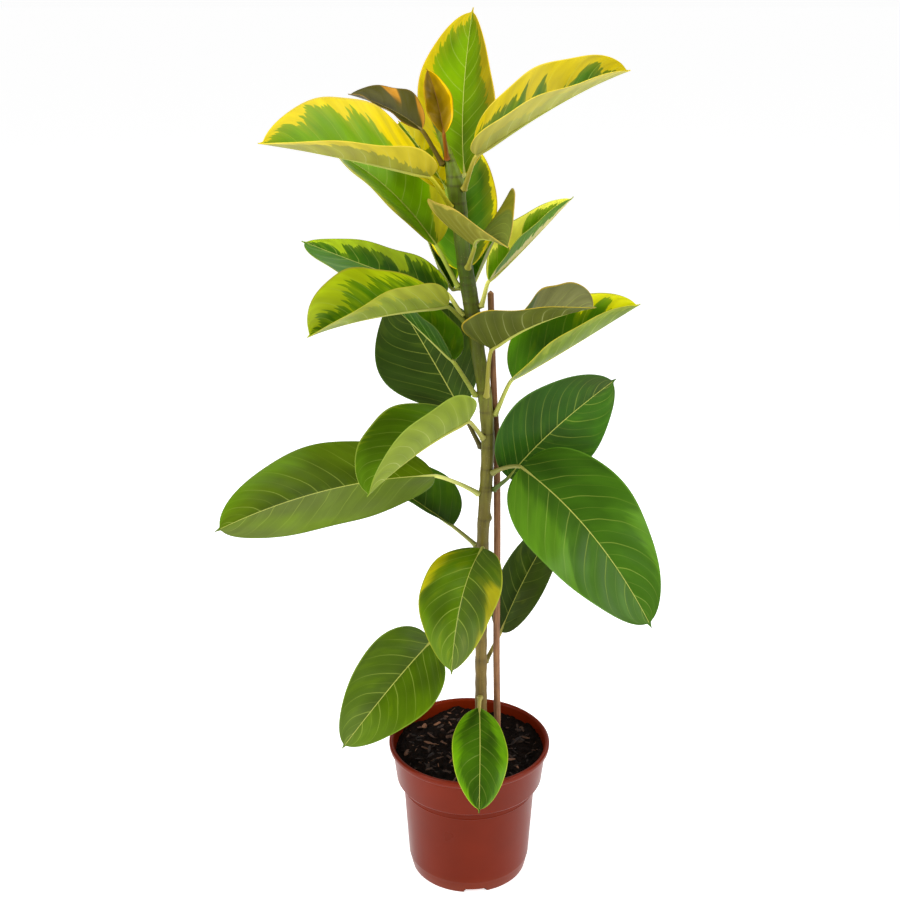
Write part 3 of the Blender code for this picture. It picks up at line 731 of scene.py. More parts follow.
# %% The stem's rings
STEM_SIDES = 40
RING = 0.00022
RING_WIDTH = 0.0012
WORN_WIDTH = 0.0011
SWELL = 0.07
SWELL_LENGTH = 0.005
SWELL_BELOW = 0.006
UNEVEN = 0.03
STEM_BUMPS_PER_M = 60
THICK = 0.006
SCAR_ABOVE = 0.003
MARKS_FROM = POT_HEIGHT - 0.02
BARE_SCARS = (0.165, 0.183, 0.222, 0.246, 0.288, 0.312, 0.333, 0.402)
KNOB_HEIGHT = 0.404
KNOB_SIZE = 0.0024
KNOB_LENGTH = 0.0035
KNOB_SIDE = math.radians(75)
scar_heights = [leaf.leaves_stem + SCAR_ABOVE for leaf in LEAVES] + list(BARE_SCARS)


def stem_swell(i, angle):
    """The stem's radius at a step and an angle round it."""
    z = stem_path[i, 2]
    radius = stem_radius[i]
    if z < MARKS_FROM:
        return radius
    thick = min(1.0, radius / THICK)
    ring = sum(math.exp(-(((z - h) / RING_WIDTH) ** 2)) for h in scar_heights)
    swell = sum(math.exp(-(((z - h + SWELL_BELOW) / SWELL_LENGTH) ** 2)) for h in scar_heights)
    uneven = UNEVEN * noise.noise(Vector((math.cos(angle), math.sin(angle), z * STEM_BUMPS_PER_M)))
    facing = max(0, math.cos(angle - KNOB_SIDE)) ** 6
    knob = KNOB_SIZE * math.exp(-(((z - KNOB_HEIGHT) / KNOB_LENGTH) ** 2)) * facing
    return radius * (1 + SWELL * min(1, swell) * thick + uneven) + RING * min(1, ring) * thick + knob


stem_edit = bmesh.new()
scar = stem_edit.verts.layers.float.new("scar")
for vert in tube(stem_edit, stem_path, stem_swell, STEM_SIDES):
    vert[scar] = min(1.0, sum(math.exp(-(((vert.co.z - h) / WORN_WIDTH) ** 2)) for h in scar_heights))
bmesh.ops.recalc_face_normals(stem_edit, faces=stem_edit.faces)
print("stem rings:", len(scar_heights))

# %% [markdown]
# The skin ages downwards: fresh green under the bud, olive, then brown and corky. So one ramp of colours is
# read by height, and a slow noise shifts it, as bark never ages evenly. Long streaks, pale pores and the
# dark worn rings lie over it.

# %% Fig bark
BARK_AGES = (
    (0.0, "795f26"), (0.16, "786224"), (0.30, "6b5819"), (0.45, "70681b"),
    (0.6, "6a7016"), (0.78, "465c0c"), (0.9, "6b8016"), (1.0, "849326"),
)
BARK_FROM, BARK_TO = 0.2, 0.9
BARK_PATCH_MM = 35.7
BARK_STREAK_MM = 2.38
BARK_STREAK_STRETCH = 0.12
PORE_MM = 3.03


def fig_bark():
    """Living fig bark: brown and corky on the old wood, green and smooth above, with scars and pale pores."""
    made, tree, shader = principled("fig_bark", paint("6c6a2e"), 0.5, Specular_IOR_Level=0.3)
    at = add_node(tree, "TexCoord").outputs["Object"]
    height = add_node(tree, "SeparateXYZ", {0: at}).outputs[2]
    drift = add_node(tree, "TexNoise", {"Vector": at, "Scale": scale_of(BARK_PATCH_MM), "Detail": 3.0})
    place = add_node(tree, "Math", {0: drift, 1: 0.16, 2: height}, operation="MULTIPLY_ADD")
    age = add_node(tree, "MapRange", {0: place, 1: BARK_FROM, 2: BARK_TO})
    ramp = add_node(tree, "ValToRGB", {0: age})
    while len(ramp.color_ramp.elements) < len(BARK_AGES):
        ramp.color_ramp.elements.new(0.5)
    for element, (position, colour) in zip(ramp.color_ramp.elements, BARK_AGES):
        element.position = position
        element.color = paint(colour)
    grain_at = add_node(tree, "Mapping", {"Vector": at, "Scale": (1, 1, BARK_STREAK_STRETCH)})
    streak = add_node(tree, "TexNoise", {"Vector": grain_at, "Scale": scale_of(BARK_STREAK_MM),
                                         "Detail": 4.0})
    dark = add_node(tree, "MapRange", {0: streak, 1: 0.4, 2: 0.75, 3: 0.0, 4: 0.5})
    pores = add_node(tree, "TexVoronoi", {"Vector": at, "Scale": scale_of(PORE_MM)})
    pore = add_node(tree, "MapRange", {0: pores, 1: 0.22, 2: 0.12, 3: 0.0, 4: 0.45})
    ring = add_node(tree, "Attribute", attribute_name="scar").outputs["Fac"]
    worn = add_node(tree, "Math", {0: ring, 1: streak}, operation="MULTIPLY")
    colour = coats(tree, ramp.outputs[0], (dark, paint("3a3216")), (pore, paint("857a48")),
                   (worn, paint("3c3014")))
    skin(tree, shader, colour, streak, 0.5, 0.0005)
    return made


finish_piece("fig_stem", stem_edit, [fig_bark()], "stem")
print("ages of the bark:", len(BARK_AGES))

# %% [markdown]
# The stake is a thin peeled stick, slightly crooked as a grown one is. It is made like the stem, with faint
# flats from the knife. Long fibres give it colour and relief, and darker bands are left of its old skin.

# %% The stake
STAKE = (
    (0.0300, 0.0050, 0.050, 0.0036),
    (0.0300, 0.0050, 0.150, 0.0036),
    (0.0280, 0.0060, 0.252, 0.0035),
    (0.0275, 0.0075, 0.354, 0.0035),
    (0.0268, 0.0085, 0.420, 0.0034),
    (0.0255, 0.0085, 0.484, 0.0032),
    (0.0228, 0.0080, 0.525, 0.0031),
    (0.0203, 0.0075, 0.575, 0.0031),
    (0.0180, 0.0070, 0.633, 0.0030),
)
STAKE_STEPS = 160
STAKE_SIDES = 28
STAKE_FLATS = 0.02
STAKE_BUMPS_PER_M = 35
rows = smooth_path(STAKE, STAKE_STEPS)
stake_path, stake_radius = rows[:, :3], rows[:, 3]


def stake_round(i, angle):
    """A whittled stick: nearly round, with faint flats and an uneven skin."""
    z = stake_path[i, 2]
    flats = STAKE_FLATS * math.cos(5 * angle + 3 * z)
    spot = Vector((1.3 * math.cos(angle), 1.3 * math.sin(angle), z * STAKE_BUMPS_PER_M))
    uneven = UNEVEN * noise.noise(spot)
    return stake_radius[i] * (1 + flats + uneven)


stake_edit = bmesh.new()
tube(stake_edit, stake_path, stake_round, STAKE_SIDES)
bmesh.ops.recalc_face_normals(stake_edit, faces=stake_edit.faces)
print("stake stands", round(STAKE[-1][2] - SOIL_HEIGHT, 3), "m above the mix")

# %% Peeled hazel
# Real wood fibres are well under 0.1 mm wide. Bundles of them are drawn, coarse enough to show.
FIBRE_MM = 1.43
FIBRE_STRETCH = 0.05
OLD_SKIN_MM = 33.3


def stake_wood():
    """A peeled hazel stick: pinkish brown and matt, with long fibres and darker bands of old skin."""
    made, tree, shader = principled("peeled_hazel", paint("8a5a44"), 0.6, Specular_IOR_Level=0.3)
    at = add_node(tree, "TexCoord").outputs["Object"]
    long_at = add_node(tree, "Mapping", {"Vector": at, "Scale": (1, 1, FIBRE_STRETCH)})
    fibre = add_node(tree, "TexNoise", {"Vector": long_at, "Scale": scale_of(FIBRE_MM), "Detail": 5.0})
    blotch = add_node(tree, "TexNoise", {"Vector": at, "Scale": scale_of(OLD_SKIN_MM), "Detail": 3.0})
    tone = add_node(tree, "MapRange", {0: fibre, 1: 0.3, 2: 0.7})
    old = add_node(tree, "MapRange", {0: blotch, 1: 0.5, 2: 0.7, 3: 0.0, 4: 0.6})
    colour = coats(tree, paint("72482c"), (tone, paint("aa7c54")), (old, paint("593524")))
    skin(tree, shader, colour, fibre, 0.5, 0.0004)
    return made


finish_piece("stake_stick", stake_edit, [stake_wood()], "stake")
print("hazel fibres:", FIBRE_MM, "mm")

# %% [markdown]
# ## The leaf's blade
#
# A blade starts as a flat grid, one way along the midrib and one way across. It is extruded into two
# layers, an upper and a lower side, and each vertex then takes its place by the same formulas as the
# solid's: an oval outline with a drip tip, halves folded up from the midrib, and a waved margin. The
# lateral veins sink in on top and stand out below, so light catches the leaf between them.

# %% The blade's outline and veins
OVAL_END = 0.975
DRIP_TIP = 1.8
TIP_HALF_WIDTH = 0.0006
VEIN_LEAN = 0.42
# A leaf has four or five strong lateral veins on each half, and one more for each 70 mm of its length.
FEWEST_VEINS = 4.5
MORE_VEINS_EVERY_MM = 70


def length_mm(leaf):
    """The straight length of the blade."""
    return 1000 * np.linalg.norm(np.subtract(leaf.tip, leaf.base))


def half_width(leaf, u):
    """Half of the blade's width along it, from 0 at its base to 1 at its tip."""
    oval = np.sin(np.pi * np.minimum(1, u / OVAL_END) ** leaf.skew).clip(0) ** leaf.fullness
    return np.maximum(TIP_HALF_WIDTH, leaf.width / 2 * np.hypot(oval, DRIP_TIP * (1 - u) * u**6))


def veins_of(leaf):
    """How many strong lateral veins each half has, and how far they lean towards the tip.

    They leave the midrib at about 50 degrees, so a broad leaf's veins reach further along it.
    """
    length = length_mm(leaf)
    return round(FEWEST_VEINS + length / MORE_VEINS_EVERY_MM), VEIN_LEAN * 1000 * leaf.width / length


longest = max(LEAVES, key=length_mm)
print("longest blade:", longest.name, round(length_mm(longest)), "mm, veins on a half:", veins_of(longest)[0])

# %% [markdown]
# The midrib is a curve through three points: the blade's base, its middle and its tip. At each place along
# it the blade needs two directions, the one ahead and the one that its upper side faces. The second turns
# a little on the way where a blade is twisted.

# %% The midrib


def weighed(leaf, *weights):
    """The sum of the midrib's three points, each with its weight."""
    return sum(weight * np.array(point) for weight, point in zip(weights, (leaf.base, leaf.middle, leaf.tip)))


def midrib(leaf, u):
    """Points of the midrib, a curve through its base at 0, its middle and its tip at 1."""
    u = np.asarray(u)[..., None]
    return weighed(leaf, (1 - u) * (1 - 2 * u), 4 * u * (1 - u), u * (2 * u - 1))


def ahead(leaf, u):
    """The midrib's direction at the same places."""
    u = np.asarray(u)[..., None]
    return unit(weighed(leaf, 4 * u - 3, 4 - 8 * u, 4 * u - 1))


def upper_side(leaf, u):
    """The direction, square to the midrib, that the blade's upper side faces."""
    forward = ahead(leaf, u)
    face = np.array(leaf.face)
    level = unit(face - (forward @ face)[..., None] * forward)
    lean = np.radians(leaf.twist) * (np.asarray(u)[..., None] - 0.5)
    return np.cos(lean) * level + np.sin(lean) * np.cross(forward, level)


rise = round(math.degrees(math.asin(ahead(longest, 0)[2])))
print("the longest leaf's midrib starts at", rise, "degrees to the floor")

# %% [markdown]
# Now every point of the blade can be placed: out from the midrib by its share of the half's width, turned up
# by the fold and the curl, waved near the margin, and lifted to the upper or the lower side.

# %% The blade's points
BLADE = 0.0008
WAVE_HEIGHT = 0.0016
WAVES = 2.3
GOLDEN_ANGLE = 2.4
VEIN_START = 0.7
VEIN_CURVE = 0.4
QUILT = 0.00022
MARGIN_THINNING = 0.45


def blade_points(leaf, u, v, below):
    """Where the grid's points lie. v runs from -1 at the left margin to 1 at the right one."""
    half = half_width(leaf, u)
    out, side = np.abs(v), np.sign(v)
    fold = np.radians(np.where(v > 0, leaf.right[0], leaf.left[0]))
    curl = np.radians(np.where(v > 0, leaf.right[1], leaf.left[1]))
    turn, mean = fold + curl * out, fold + curl * out / 2
    phase = GOLDEN_ANGLE * LEAVES.index(leaf)
    wave = WAVE_HEIGHT * out**2 * np.sin(np.pi * u) * np.sin(2 * np.pi * WAVES * u + phase)
    across = side * np.cos(mean) * half * out
    height = np.sin(mean) * half * out + wave
    count, lean = veins_of(leaf)
    place = (u - lean * out * (VEIN_START + VEIN_CURVE * out)) * count + 0.5 * (v > 0)
    sunk = QUILT * np.cos(2 * np.pi * place) * np.minimum(1, 6 * out) * (1 - out**4) * np.sin(np.pi * u)
    lift = (np.where(below, -BLADE / 2, BLADE / 2) - sunk) * (1 - MARGIN_THINNING * out**8)
    across = across - side * np.sin(turn) * lift * (out > 0)
    height = height + np.cos(turn) * lift
    up = upper_side(leaf, u)
    right = np.cross(ahead(leaf, u), up)
    return midrib(leaf, u) + across[:, None] * right + height[:, None] * up


print("blade:", 1000 * BLADE, "mm thick, veins sunk by", 1000 * QUILT, "mm")

# %% [markdown]
# The petiole and the midrib are one tapering stalk: round and stout at the stem, it runs on under the
# blade, where it stands out, and thins away to the tip.

# %% The petiole's line
PETIOLE_RADIUS = 0.0017
PETIOLE_FLARE = 1.35
PETIOLE_LEAST_RISE = math.radians(38)
PETIOLE_MOST_RISE = math.radians(68)
PETIOLE_REACH = 0.35
BLADE_REACH = 0.14
FOOT_REACH = 0.0035


def petiole_points(leaf, t):
    """Points of the petiole's line from the stem to the blade."""
    base = np.array(leaf.base)
    axis = stem_at(leaf.leaves_stem)
    outward = unit((base - axis[:3]) * (1, 1, 0))
    flared = PETIOLE_RADIUS * PETIOLE_FLARE
    straight = base - axis[:3] - outward * (axis[3] + flared)
    rise = math.atan2(straight[2], straight.dot(outward))
    rise = min(PETIOLE_MOST_RISE, max(PETIOLE_LEAST_RISE, rise))
    lean = outward.dot((stem_at(leaf.leaves_stem + flared) - axis)[:3])
    start = axis[:3] + outward * (axis[3] + GAP + flared * math.sin(rise) + max(0, lean))
    length = np.linalg.norm(base - start)
    leaving = outward * math.cos(rise) + np.array([0, 0, math.sin(rise)])
    controls = (start, start + leaving * PETIOLE_REACH * length, base - ahead(leaf, 0) * BLADE_REACH * length,
                base)
    t = t[:, None]
    weights = ((1 - t) ** 3, 3 * t * (1 - t) ** 2, 3 * t * t * (1 - t), t**3)
    line = sum(weight * control for weight, control in zip(weights, controls))
    return np.vstack([line[0] - leaving * FOOT_REACH, line])


slopes = [round(math.degrees(rise)) for rise in (PETIOLE_LEAST_RISE, PETIOLE_MOST_RISE)]
print("petioles leave the stem at", slopes[0], "to", slopes[1], "degrees to the floor")

# %% [markdown]
# The petiole's line and the midrib make one path, and one tube along it is the whole stalk. Its foot flares
# where it meets the stem. Past the blade's base it settles lower, until its top is nearly level with the
# blade's and the rest stands out below.

# %% The stalk
STALK_SIDES = 16
PETIOLE_STEPS = 26
MIDRIB_STEPS = 60
MIDRIB_END = 0.975
TIP_RADIUS = 0.00025
RIB_TAPER = 1.4
PROUD = 0.00058
SETTLING = 0.10
STOUT = 1.1
FOOT_FLARE = 0.5
FOOT_LENGTH = 0.06
FOOT_CAP = 1.1
SLENDER_SHARE = 0.75
FULL_WIDTH = 0.05


def stalk(edit, leaf):
    """Adds the stalk to the leaf's bmesh and returns its vertices with their places along it.

    The place is 0 at the stem, 0.5 at the blade's base and 1 at its tip.
    """
    t = np.linspace(0, 1, PETIOLE_STEPS, endpoint=False)
    u = MIDRIB_END * (1 - np.cos(np.pi * np.linspace(0, 1, MIDRIB_STEPS))) / 2
    petiole = petiole_points(leaf, t)
    grown = min(1.0, leaf.width / FULL_WIDTH)
    slender = PETIOLE_RADIUS * (SLENDER_SHARE + (1 - SLENDER_SHARE) * grown)
    rib_radius = TIP_RADIUS + (slender - TIP_RADIUS) * (1 - u) ** RIB_TAPER
    settle = np.clip(u / SETTLING, 0, 1)
    settle = settle * settle * (3 - 2 * settle)
    rib = midrib(leaf, u) - upper_side(leaf, u) * ((rib_radius - PROUD) * settle)[:, None]
    path = np.vstack([petiole, rib])
    flare = PETIOLE_FLARE + FOOT_FLARE * np.exp(-t / FOOT_LENGTH)
    stout = slender * STOUT * (1 + (flare - 1) * (1 - t) ** 2)
    radii = np.concatenate([[stout[0] * FOOT_CAP], stout, rib_radius])
    places = np.concatenate([[0.0], 0.5 * t, 0.5 + 0.5 * u])
    verts = tube(edit, path, radii, STALK_SIDES, start_side=upper_side(leaf, 0))
    return verts, path, places


print("rings of points along a stalk:", 1 + PETIOLE_STEPS + MIDRIB_STEPS)

# %% [markdown]
# ## The leaf's finishes
#
# A variegated fig leaf is green where its inner tissue reaches, and yellow beyond. The green ends in teeth
# that follow the lateral veins, so the pattern is drawn in the leaf's own map: one coordinate across the
# blade and one that runs along the veins. An image would be quicker to make but blurs up close, and every
# edge here stays sharp. The same pattern colours the lower side, paler and duller, since it is one leaf
# seen from below.
#
# On each half the green's edge is drawn through a few given points: a place along the veins, from the
# base at 0 to the tip at 1, and how far out the green reaches there, from the midrib at 0 to the margin at
# 1. A place before 0 is near the margin beside the base, since the veins lean forward.
#
# A look also holds the teeth's length, how much the edge sways and how soft it is, how much deep green,
# lime mottling and vein shows, the painted light and shade of the two halves, and how much pale grey-green,
# partly a wax bloom and partly a painted sheen, lies on them and the tip.
# Its six colours are the green, the yellow margin, the rim, the lower side, its margin, and the petiole.

# %% What a look holds
# Of a look's parts, shade is painted light and shade: each half is made lighter or darker as it lies to the
# light. The three amounts after it mix in a pale grey-green, partly a wax bloom and partly a painted sheen,
# on each half and at the tip.
Look = namedtuple("Look", "left right tooth sway soft deep mottle veins shade bloom colours")


def even(reach):
    """The same reach of the green from base to tip. More than one means that it covers the whole half."""
    return ((0, reach), (1, reach))


ALL = even(1.3)
YOUNG = Look(even(0.95), even(0.95), 0.02, 0.03, 0.03, 0.5, 0, 0, (1, 1), (0, 0, 0), "")
TOP = Look(even(0.74), even(0.74), 0.1, 0.04, 0.015, 0.5, 0.05, 0.45, (1, 1), (0, 0, 0), "")
MIDDLE = Look(even(0.8), even(0.8), 0.1, 0.06, 0.015, 0.6, 0.25, 0.45, (1, 1), (0, 0, 0), "")
LOWER = Look(ALL, ALL, 0.05, 0.05, 0.08, 0.6, 0.12, 0.4, (1, 1), (0, 0, 0), "")
print("parts of a look:", len(Look._fields))

# %% The looks of the young leaves and the top ones
LOOKS = {
    "leaf_01": YOUNG._replace(
        right=even(0.84), shade=(0.64, 1.02), colours="a08001 f3c201 a87c18 6d561c 96721c a6600b",
    ),
    "leaf_02": YOUNG._replace(
        right=((-0.3, 0.3), (-0.1, 0.5), (0.05, 0.75), (0.1, 1.2), (0.3, 1.2), (0.36, 0.5), (0.45, 0.6),
              (0.5, 1.2)),
        soft=0.12, colours="46430d a87418 6a5a20 4f451c 96721c 716013",
    ),
    "leaf_03": TOP._replace(
        left=((-0.15, 0.45), (0, 0.5), (0.1, 0.75), (0.5, 0.82), (0.62, 0.85), (0.72, 0.8), (0.8, 0.6),
              (0.9, 0.35), (1, 0)),
        right=((-0.2, 0.55), (0.05, 0.6), (0.22, 0.85), (0.35, 0.8), (0.45, 0.7), (0.6, 0.72), (0.75, 0.75),
              (0.85, 0.6), (0.95, 0.4)),
        shade=(0.94, 0.5), colours="7ca600 beab05 d8b830 8c8f44 bfb446 a3a647",
    ),
    "leaf_04": TOP._replace(
        left=((-0.25, 1), (-0.1, 0.85), (0, 0.75), (0.1, 0.72), (0.18, 0.8), (0.22, 0.6), (0.26, 0.82),
              (0.3, 0.45), (0.35, 0.5), (0.385, 0.85), (0.43, 0.5), (0.47, 0.2), (0.53, 0.2), (0.6, 0.45),
              (0.66, 0.82), (0.72, 0.7), (0.78, 0.4), (0.87, 0.3), (1, 0)),
        right=((0, 0.4), (0.2, 0.6), (0.35, 0.4), (0.5, 0.65), (0.8, 0.5), (1, 0.3)),
        tooth=0.08, deep=0.8, colours="3f6600 b09e00 d9c23c a0a046 b0a840 bbaf3f",
    ),
    "leaf_05": TOP._replace(
        left=((-0.3, 0.3), (-0.1, 0.45), (0.1, 0.4), (0.25, 0.5), (0.45, 0.75), (0.8, 0.7), (1, 0.4)),
        right=((0.1, -0.4), (0.13, 0.6), (0.2, 0.78), (0.27, 0.87), (0.33, 0.8), (0.37, 0.72), (0.42, 0.93),
              (0.55, 0.93), (0.62, 0.75), (0.67, 0.6), (0.72, 0.75), (0.8, 0.6), (0.9, 0.4), (1, 0.2)),
        deep=0.25, colours="739e00 ddc600 dcc440 9b9937 cebb31 cec623",
    ),
    "leaf_06": TOP._replace(
        left=((0, 0.1), (1, 0.5)),
        right=((0, 0.4), (0.2, 0.1), (0.5, 0.35), (0.6, 0.1), (1, 0)),
        shade=(1, 0.91), colours="567701 c1b200 c8b030 8c8f44 bfb446 94b12d",
    ),
}
print("looks so far:", len(LOOKS))

# %% The looks of more leaves with broad yellow margins
LOOKS |= {
    "leaf_07": TOP._replace(
        left=even(0.92), right=even(0.9), tooth=0.05, deep=0.7, shade=(1.54, 0.91),
        colours="508113 f6e30e c4a828 8c8f44 bfb446 a3a647",
    ),
    "leaf_08": TOP._replace(
        left=((-0.4, 0.2), (0.1, 0.25), (0.25, 0.6), (0.35, 1.2)),
        right=even(0.92), tooth=0.06, soft=0.06, deep=0.4,
        colours="616c28 787214 c2a648 928e36 bdac48 aeaa41",
    ),
    "leaf_09": TOP._replace(
        left=even(0.95),
        right=((-0.2, 0.3), (0, 0.4), (0.15, 0.6), (0.22, 1), (1, 1)),
        shade=(1.03, 0.98), colours="6c9900 aaa616 aaa848 8f8c5c bfb446 b9c64b",
    ),
    "leaf_10": MIDDLE._replace(deep=0.5, colours="4b7c0a 8aa40c 8c9a34 848f40 a2a846 a3a647"),
    "leaf_11": MIDDLE._replace(left=ALL, right=ALL, colours="78c000 f6f600 8c9a34 5f6401 777602 a3a647"),
    "leaf_12": TOP._replace(
        left=((-0.2, 0.3), (-0.1, 0.7), (0, 0.9), (0.3, 0.9), (0.36, 0.1), (0.47, 0.1), (0.52, 0.85),
              (0.6, 0.9), (0.72, 0.8), (0.8, 0.6), (0.86, 0.2)),
        right=((-0.1, 1.2), (0.05, 0.45), (0.85, 0.42), (1, 0.9)),
        deep=0.6, colours="689a06 f6f65c 98a434 bcb474 4c7800 dfdd6b",
    ),
}
print("looks so far:", len(LOOKS))

# %% The looks of the leaves mottled with lime
LOOKS |= {
    "leaf_13": MIDDLE._replace(
        left=ALL,
        right=((-0.25, 0.9), (0.25, 0.9), (0.28, 0.3), (0.36, 0.3), (0.38, 0.75), (0.5, 0.78), (0.6, 0.7),
              (0.68, 0.75), (0.71, 0.2), (0.76, 0.2), (0.79, 0.6), (0.9, 0.5), (1, 0.3)),
        tooth=0.12, sway=0.08, shade=(1.35, 1.1), colours="366200 8fa610 8f9a30 848f40 a2a846 f6f67b",
    ),
    "leaf_14": MIDDLE._replace(
        left=((0, 0.4), (0.3, 0.7), (0.6, 0.6), (1, 0.5)),
        right=((-0.4, 0.95), (0.2, 0.85), (0.45, 0.75), (0.57, 0.5), (0.66, 0.35), (0.75, 0.6), (0.85, 0.4),
              (1, 0.2)),
        tooth=0.16, sway=0.15, mottle=0.8, colours="558403 a5b60c a39e30 899833 9ca22f 8b932a",
    ),
    "leaf_15": MIDDLE._replace(
        left=((0.05, 1.2), (0.13, 0)),
        right=ALL, soft=0.05, deep=0.5, mottle=0.1, colours="526d09 6c6d43 b89c28 575e1e ad9f2a aca53d",
    ),
    "leaf_16": MIDDLE._replace(
        left=ALL, right=ALL, deep=0.7, mottle=0.1, shade=(1, 0.98),
        colours="5c8e01 f6f602 66782c 315900 89c502 acb445",
    ),
    "leaf_17": MIDDLE._replace(
        left=((0.2, 1.3), (0.45, 1.2), (0.5, 0.65), (0.58, 0.6), (0.62, 0.8), (0.68, 0.8), (0.72, 0.45),
              (0.8, 0.3), (0.95, 0)),
        right=((0, 0.9), (0.6, 0.85), (1, 0.5)),
        deep=0.8, mottle=0.1, colours="5c9704 e3e304 a8a430 6c8127 818f30 b7bc54",
    ),
    "leaf_18": MIDDLE._replace(
        left=ALL, right=ALL, deep=0.8, mottle=0, shade=(1, 0.85),
        colours="597f05 f6f60e 869834 7c8d2b 909e3b a5a24c",
    ),
    "leaf_19": LOWER._replace(
        veins=0.42, shade=(0.93, 1.13), bloom=(0.02, 0.02, 0.06),
        colours="344c14 7f9210 44601a 68753a 7f8c40 58511d",
    ),
}
print("looks so far:", len(LOOKS))

# %% The looks of the lower leaves
LOOKS |= {
    "leaf_20": LOWER._replace(
        left=((0.25, 1.2), (0.35, 0.85), (0.42, 0.7), (0.55, 0.8), (0.62, 1.2)),
        right=((-0.3, 1.2), (-0.15, 0.6), (0, 0.4), (0.2, 0.35), (0.38, 0.45), (0.46, 1.2)),
        mottle=0.2, shade=(1.09, 1.07), bloom=(0, 0.01, 0.02),
        colours="365b0a 4a7310 568020 68753a 7f8c40 969448",
    ),
    "leaf_21": LOWER._replace(
        shade=(0.81, 1.2), bloom=(0.02, 0.03, 0.05), colours="2b5807 649303 4a7028 68753a 7f8c40 5b7024",
    ),
    "leaf_22": LOWER._replace(
        right=((0.3, 1.2), (0.5, 0.8), (0.9, 0.7)),
        soft=0.25, veins=0.35, shade=(1.12, 0.92), bloom=(0.12, 0, 0),
        colours="516804 567702 5a7018 68753a 7f8c40 d8db77",
    ),
    "leaf_23": LOWER._replace(
        veins=0.25, shade=(1, 0.84), colours="456f00 82a600 46661a 68753a 7f8c40 a9ab5a",
    ),
    "leaf_24": LOWER._replace(
        left=((0.12, 1.2), (0.2, 0.75), (0.3, 0.62), (0.4, 0.85), (0.46, 1.1), (0.52, 0.85), (0.6, 1.2)),
        right=((-0.2, 1.2), (-0.05, 0.9), (0.1, 0.82), (0.22, 0.9), (0.3, 1.2)),
        soft=0.1, veins=0.5, shade=(0.79, 1.27), bloom=(0.03, 0, 0.14),
        colours="4b6801 a29c06 9aa028 68753a 7f8c40 a3a647",
    ),
    "leaf_25": LOWER._replace(
        veins=0.45, shade=(1.09, 0.84), bloom=(0, 0.03, 0.12),
        colours="4a6602 7a9501 76902c 68753a 7f8c40 a3a647",
    ),
    "leaf_26": LOWER._replace(
        veins=0.25, shade=(0.83, 1.26), bloom=(0, 0.06, 0.05),
        colours="334807 8f9d0a 46601c 6f7a50 7f8c40 a6994a",
    ),
    "leaf_27": LOWER._replace(
        left=((-0.2, 0.5), (0, 0.6), (0.25, 0.6), (0.5, 0.8), (0.8, 0.9), (1, 0.9)),
        right=((-0.1, 0.7), (0.2, 0.85), (0.45, 0.75), (0.55, 0.9), (0.75, 0.75), (0.8, 0.9), (1, 0.9)),
        tooth=0.08, sway=0.08, soft=0.12, veins=0.25, shade=(0.89, 1.04),
        colours="3c6204 5f9104 a8bc30 68753a 7f8c40 b3a651",
    ),
}
print("looks:", len(LOOKS))

# %% [markdown]
# The patterns are drawn by chains of small sums, which would be long to write node by node. A short helper
# adds them from rows, like the lines of a recipe: a name for the result, the step, and what goes in, where
# a word stands for an earlier result.
#
# The first rows find a point's place in the leaf's map: how far out from the midrib it is, on which half,
# and how far along the veins, which lean towards the tip. A slow noise makes the veins wander a little.

# %% Places in the leaf's map
SEED_STEP = 13.7
# The map runs from 0 to 1 on every blade. A pattern that grows with its leaf, as this wander does, is counted
# in the map: a young leaf has as much of it as the longest one, where a wander is 72 mm long.
WANDER = 3.0
WANDER_REACH = 0.05
HALVES_APART = 50.0


def draw(tree, at, rows):
    """Adds a node for each row and keeps it by the row's name. A word that goes in is an earlier name."""
    for name, step, *values in rows:
        inputs = {place: at[value] if isinstance(value, str) else value for place, value in enumerate(values)}
        if step == "MapRange":
            at[name] = add_node(tree, step, inputs)
        else:
            at[name] = add_node(tree, "Math", inputs, operation=step)


def leaf_places(tree, leaf):
    """Where a point lies on its leaf, by name."""
    seed = SEED_STEP * LEAVES.index(leaf)
    uv = add_node(tree, "UVMap", uv_map="leaf_map")
    parts = add_node(tree, "SeparateXYZ", {0: uv})
    wander = add_node(tree, "TexNoise", {"Vector": uv, "Scale": WANDER, "Detail": 1.0, "W": seed},
                      noise_dimensions="4D")
    at = {"uv": uv, "seed": seed, "u": parts.outputs[0], "across": parts.outputs[1], "wander": wander}
    lean = veins_of(leaf)[1]
    draw(tree, at, (
        ("v", "MULTIPLY_ADD", "across", 2.0, -1.0),
        ("out", "ABSOLUTE", "v"),
        ("right", "GREATER_THAN", "v", 0.0),
        ("slope", "MULTIPLY_ADD", "out", lean * VEIN_CURVE, lean * VEIN_START),
        ("drop", "MULTIPLY", "slope", "out"),
        ("straight", "SUBTRACT", "u", "drop"),
        ("along", "MULTIPLY_ADD", "wander", WANDER_REACH, "straight"),
        ("place", "MULTIPLY_ADD", "right", HALVES_APART, "seed"),
    ))
    return at


print("one wander on the longest leaf:", round(length_mm(longest) / WANDER), "mm")

# %% [markdown]
# A lateral vein is a fine pale line with a faint glow beside it. The places along the veins are cut into as
# many cycles as the blade has veins: a strong vein lies at each whole number, and a finer one half-way
# between. All fade towards the margin.

# %% The veins
# A real vein is about 0.3 mm wide where it shows, too fine for the render, so it is drawn a little broader.
VEIN_MM = 0.5


